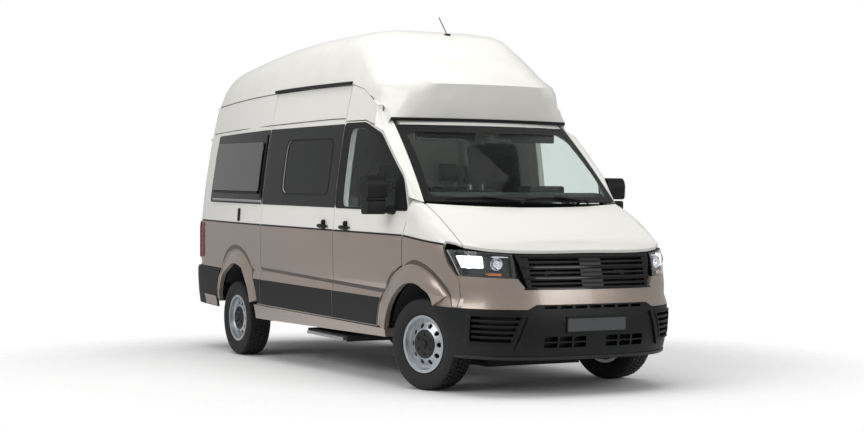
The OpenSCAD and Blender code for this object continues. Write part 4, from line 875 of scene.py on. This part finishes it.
pads = {}
for name, x, y, z, width in seats:
    for part in ("cushion", "back", "headrest"):
        form = [(x + px, z + pz) for px, pz in padding[part]]
        span = width / 2 if part == "headrest" else width
        padName = name + part.capitalize()
        pads[padName] = (cutForm(padName, form, y, span, padding["soft"]), padding["voxels"][part], y, span)
form = rectangle(*mattress["x"], *mattress["z"])
pads["mattress"] = (cutForm("mattress", form, 0, mattress["width"], mattress["soft"]),
                    padding["voxels"]["mattress"], 0, mattress["width"])

startPlaces = {}
for pad, voxel, y, span in pads.values():
    remesh = pad.modifiers.new("remesh", "REMESH")
    remesh.mode = "VOXEL"
    remesh.voxel_size = voxel
for name, mesh in evaluated().items():
    pad = pads[name][0]
    pad.modifiers.clear()
    pad.data = mesh
    startPlaces[name] = [v.co.copy() for v in mesh.vertices]
    cloth = pad.modifiers.new("cloth", "CLOTH")
    cloth.settings.quality = padding["quality"]
    cloth.settings.mass = padding["mass"]
    cloth.settings.use_pressure = True
    cloth.settings.uniform_pressure_force = padding["pressure"]
    cloth.settings.effector_weights.gravity = 0
    cloth.point_cache.frame_end = padding["frames"]
for step in range(1, padding["frames"] + 1):
    scene.frame_set(step)
for name, swollen in evaluated().items():
    pad, voxel, y, span = pads[name]
    pad.modifiers.clear()
    seams = [-padding["channelAt"] * span, padding["channelAt"] * span]
    if name.endswith("Headrest"):
        seams = [0.0]
    elif name == "mattress":
        seams = []
    normals = [v.normal.copy() for v in swollen.vertices]
    for v, start, normal in zip(swollen.vertices, startPlaces[name], normals):
        move = v.co - start
        if move.length > padding["cap"]:
            v.co = start + move.normalized() * padding["cap"]
        for sewn in seams:
            near = clamp(1 - abs(v.co.y - y - sewn) / padding["channelHalf"])
            v.co = v.co - normal * padding["channelDeep"] * near * near
    pad.data = swollen
    swollen.shade_smooth()
    fine = pad.modifiers.new("fine", "SUBSURF")
    fine.levels = fine.render_levels = 1
    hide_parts("cushions")
scene.frame_set(1)

# Headrest posts, bright steel
posts = {"x": -0.365, "y": 0.06, "z": (0.66, 0.78), "radius": 0.008}
for name, x, y, z, width in seats:
    rods = [tube([(x + posts["x"], y + s * posts["y"], z + h) for h in steps(*posts["z"], 3)],
                 [posts["radius"]] * 4, 12) for s in (-1, 1)]
    piece(joined(rods), name + "Posts", chrome, slot="step_alloy", edge=0)
print("seats and bed padded:", len(pads), "pads")

# Dashboard: soft top, hood over the dials, middle screen, air vents; above them the sun visors and the mirror
dash = {"hood": ((1.440, 0.25, 1.46), (1.640, 0.59, 1.600)), "screen": ((1.372, -0.13, 1.24), (1.388, 0.13, 1.39))}
dashTop = {"behind": 0.055, "half": 0.845, "deep": 0.44, "rise": 0.095, "foot": 1.452,
           "blank": {"outline": (-1, 1, 0.0, 1.0), "soft": 0.08, "lifts": (0, -0.02), "edge": 0.006}}
airVents = {"at": [-0.78, -0.24, 0.24, 0.78], "half": 0.06, "x": (1.378, 1.402), "z": (1.29, 1.33), "thick": 0.006}
sunVisor = {"x": (1.335, 1.358), "y": (0.10, 0.66), "z": (1.955, 2.075), "soft": 0.01}
screenMirror = {"low": (1.52, -0.12, 1.93), "high": (1.545, 0.12, 1.995), "soft": 0.012,
                "stalk": [(1.54, 0, 1.975), (1.52, 0, 2.02)], "stalkRadii": [0.012, 0.016]}


def onDash(s, t, lift):
    bulge = math.sin(math.pi * (0.15 + 0.85 * t))
    return Vector((onScreen(s, 0, 0).x - dashTop["behind"] - dashTop["deep"] * t, dashTop["half"] * s,
                   dashTop["foot"] + dashTop["rise"] * bulge + lift))


def fitted(bm, name, mat):
    piece(bm, name, mat, slot="interior_plastic", edge=0)


trim("dashTop", onDash, interiorPlastic, slot="interior_plastic", **dashTop["blank"])
for sideName, side in sides.items():
    y0, y1 = sorted(side * y for y in sunVisor["y"])
    low, high = zip(sunVisor["x"], (y0, y1), sunVisor["z"])
    fitted(softBlock(low, high, sunVisor["soft"]), sideName + "SunVisor", interiorPlastic)
fitted(softBlock(*dash["hood"], 0.02), "dialHood", interiorPlastic)
fitted(softBlock(*dash["screen"], 0.006), "dashScreen", darkGlass)
for k, y in enumerate(airVents["at"]):
    (back, front), half = airVents["x"], airVents["half"]
    blades = [softBlock((back, y - half, z), (front, y + half, z + airVents["thick"]), 0.002, 2)
              for z in steps(*airVents["z"], 4)]
    fitted(joined(blades), "airVent%d" % k, satinBlack)
stalk = tube(screenMirror["stalk"], screenMirror["stalkRadii"], 12)
fitted(joined([softBlock(screenMirror["low"], screenMirror["high"], screenMirror["soft"]), stalk]), "innerMirror",
       satinBlack)
print("cab fitted out")

# Tail: door handle, blank plate with its lamp bar, and a rubber seal along each door's inner edge
tailTrim = {
    "tailHandle": {"mat": grained, "outline": (-0.17, -0.04, 1.02, 1.055), "soft": 0.012, "lifts": (0.030, -0.002),
                   "body": "right_rear_door", "edge": 0.008, "segments": 3},
    "tailPlate": {"mat": plateGrey, "outline": (0.10, 0.62, 1.005, 1.115), "soft": 0.008, "lifts": (0.0045, -0.001),
                  "body": "left_rear_door", "edge": 0.001},
    "tailPlateLamp": {"mat": grained, "outline": (0.08, 0.64, 1.135, 1.175), "soft": 0.012, "lifts": (0.022, -0.002),
                      "body": "left_rear_door", "edge": 0.006, "segments": 3},
}
for name, spec in tailTrim.items():
    trim(name, onTail, **spec)
tailSeal = {"z": (0.86, 2.30), "y": 0.019, "radius": 0.0045}
for sideName, side in sides.items():
    line = [onTail(side * tailSeal["y"], z, 0.0) for z in steps(*tailSeal["z"], 8)]
    piece(tube(line, [tailSeal["radius"]] * len(line)), sideName + "TailSeal", rubber, sideName + "_rear_door",
          "tyre_rubber", edge=0)

# Step tread: raised ribs along the outer edge
stepRibs = {"x": (-0.095, 0.61), "y": (-0.925, -0.845), "z": 0.3160, "count": 5, "radius": 0.0042}
ribs = [tube([(x, y, stepRibs["z"]) for x in steps(*stepRibs["x"], 2)], [stepRibs["radius"]] * 3)
        for y in steps(*stepRibs["y"], stepRibs["count"])]
piece(joined(ribs), "stepRibs", anodised, "entry_step", "step_alloy", edge=0)
print("tail and step dressed")

# Camera at the photograph's place
cameraSpot = {"place": (13.134, -6.928, 1.331), "pitch": 89.958, "heading": 61.339, "lens": 69.19, "sensor": 36,
              "farthest": 200}
cameraData = bpy.data.cameras.new("camera")
cameraData.lens = cameraSpot["lens"]
cameraData.sensor_width = cameraSpot["sensor"]
cameraData.clip_end = cameraSpot["farthest"]
camera = bpy.data.objects.new("camera", cameraData)
camera.location = cameraSpot["place"]
camera.rotation_euler = (math.radians(cameraSpot["pitch"]), 0, math.radians(cameraSpot["heading"]))
scene.collection.objects.link(camera)
scene.camera = camera

# Studio: soft sky that looks white to the camera and through glass, and lamps overhead, to the right and in front
studio = {"colour": (1, 1, 1, 1), "soft": 0.42, "white": 1}
world = bpy.data.worlds.new("studio")
scene.world = world
world.use_nodes = True
softSky = world.node_tree.nodes["Background"]
softSky.inputs["Color"].default_value = studio["colour"]
softSky.inputs["Strength"].default_value = studio["soft"]
whiteSky = addNode(world, "Background", {"Color": studio["colour"], "Strength": studio["white"]})
path = addNode(world, "LightPath")
either = addNode(world, "Math", {"operation": "MAXIMUM"}, i0=path.outputs["Is Camera Ray"],
                 i1=path.outputs["Is Transmission Ray"])
mix = addNode(world, "MixShader", Fac=either.outputs[0], i1=softSky.outputs[0], i2=whiteSky.outputs[0])
link(world, mix.outputs[0], world.node_tree.nodes["World Output"], "Surface")

lamps = {
    "overhead": {"place": (1, -1, 9), "size": (9, 6), "power": 520, "mirrored": False},
    "rightSide": {"place": (2, -10, 6), "size": (9, 4), "power": 390, "mirrored": True},
    "front": {"place": (11, 3, 5), "size": (5, 4), "power": 240, "mirrored": True},
}
lampTarget = Vector((0, 0, 1))
for name, spec in lamps.items():
    data = bpy.data.lights.new(name, "AREA")
    data.shape = "RECTANGLE"
    data.size, data.size_y = spec["size"]
    data.energy = spec["power"]
    lamp = bpy.data.objects.new(name, data)
    lamp.location = spec["place"]
    lamp.rotation_euler = (lampTarget - Vector(spec["place"])).to_track_quat("-Z", "Y").to_euler()
    lamp.visible_glossy = spec["mirrored"]    # glass doesn't mirror the overhead panel
    scene.collection.objects.link(lamp)

# Pale floor that keeps the shadow and fades into the white ground
studioFloor = {"colour": "#f2f2f2", "fadeFrom": 2.6, "fadeTo": 4.6, "size": 60}
floorMat, shader, place = newMaterial("studioFloor", Roughness=0.7)
shader.inputs["Base Color"].default_value = linear(studioFloor["colour"])
distance = addNode(floorMat, "VectorMath", {"operation": "LENGTH"}, i0=place)
fade = addNode(floorMat, "MapRange", {"From Min": studioFloor["fadeFrom"], "From Max": studioFloor["fadeTo"],
                                      "interpolation_type": "SMOOTHSTEP"}, Value=distance.outputs["Value"])
clear = addNode(floorMat, "BsdfTransparent")
blend = addNode(floorMat, "MixShader", Fac=fade.outputs[0], i1=shader.outputs[0], i2=clear.outputs[0])
link(floorMat, blend.outputs[0], floorMat.node_tree.nodes["Material Output"], "Surface")
floorMesh = bpy.data.meshes.new("studioFloor")
bm = bmesh.new()
bmesh.ops.create_grid(bm, x_segments=2, y_segments=2, size=studioFloor["size"])
bm.to_mesh(floorMesh)
bm.free()
floorObject = bpy.data.objects.new("studioFloor", floorMesh)
floorMesh.materials.append(floorMat)
scene.collection.objects.link(floorObject)
print("camera, lamps and floor placed")
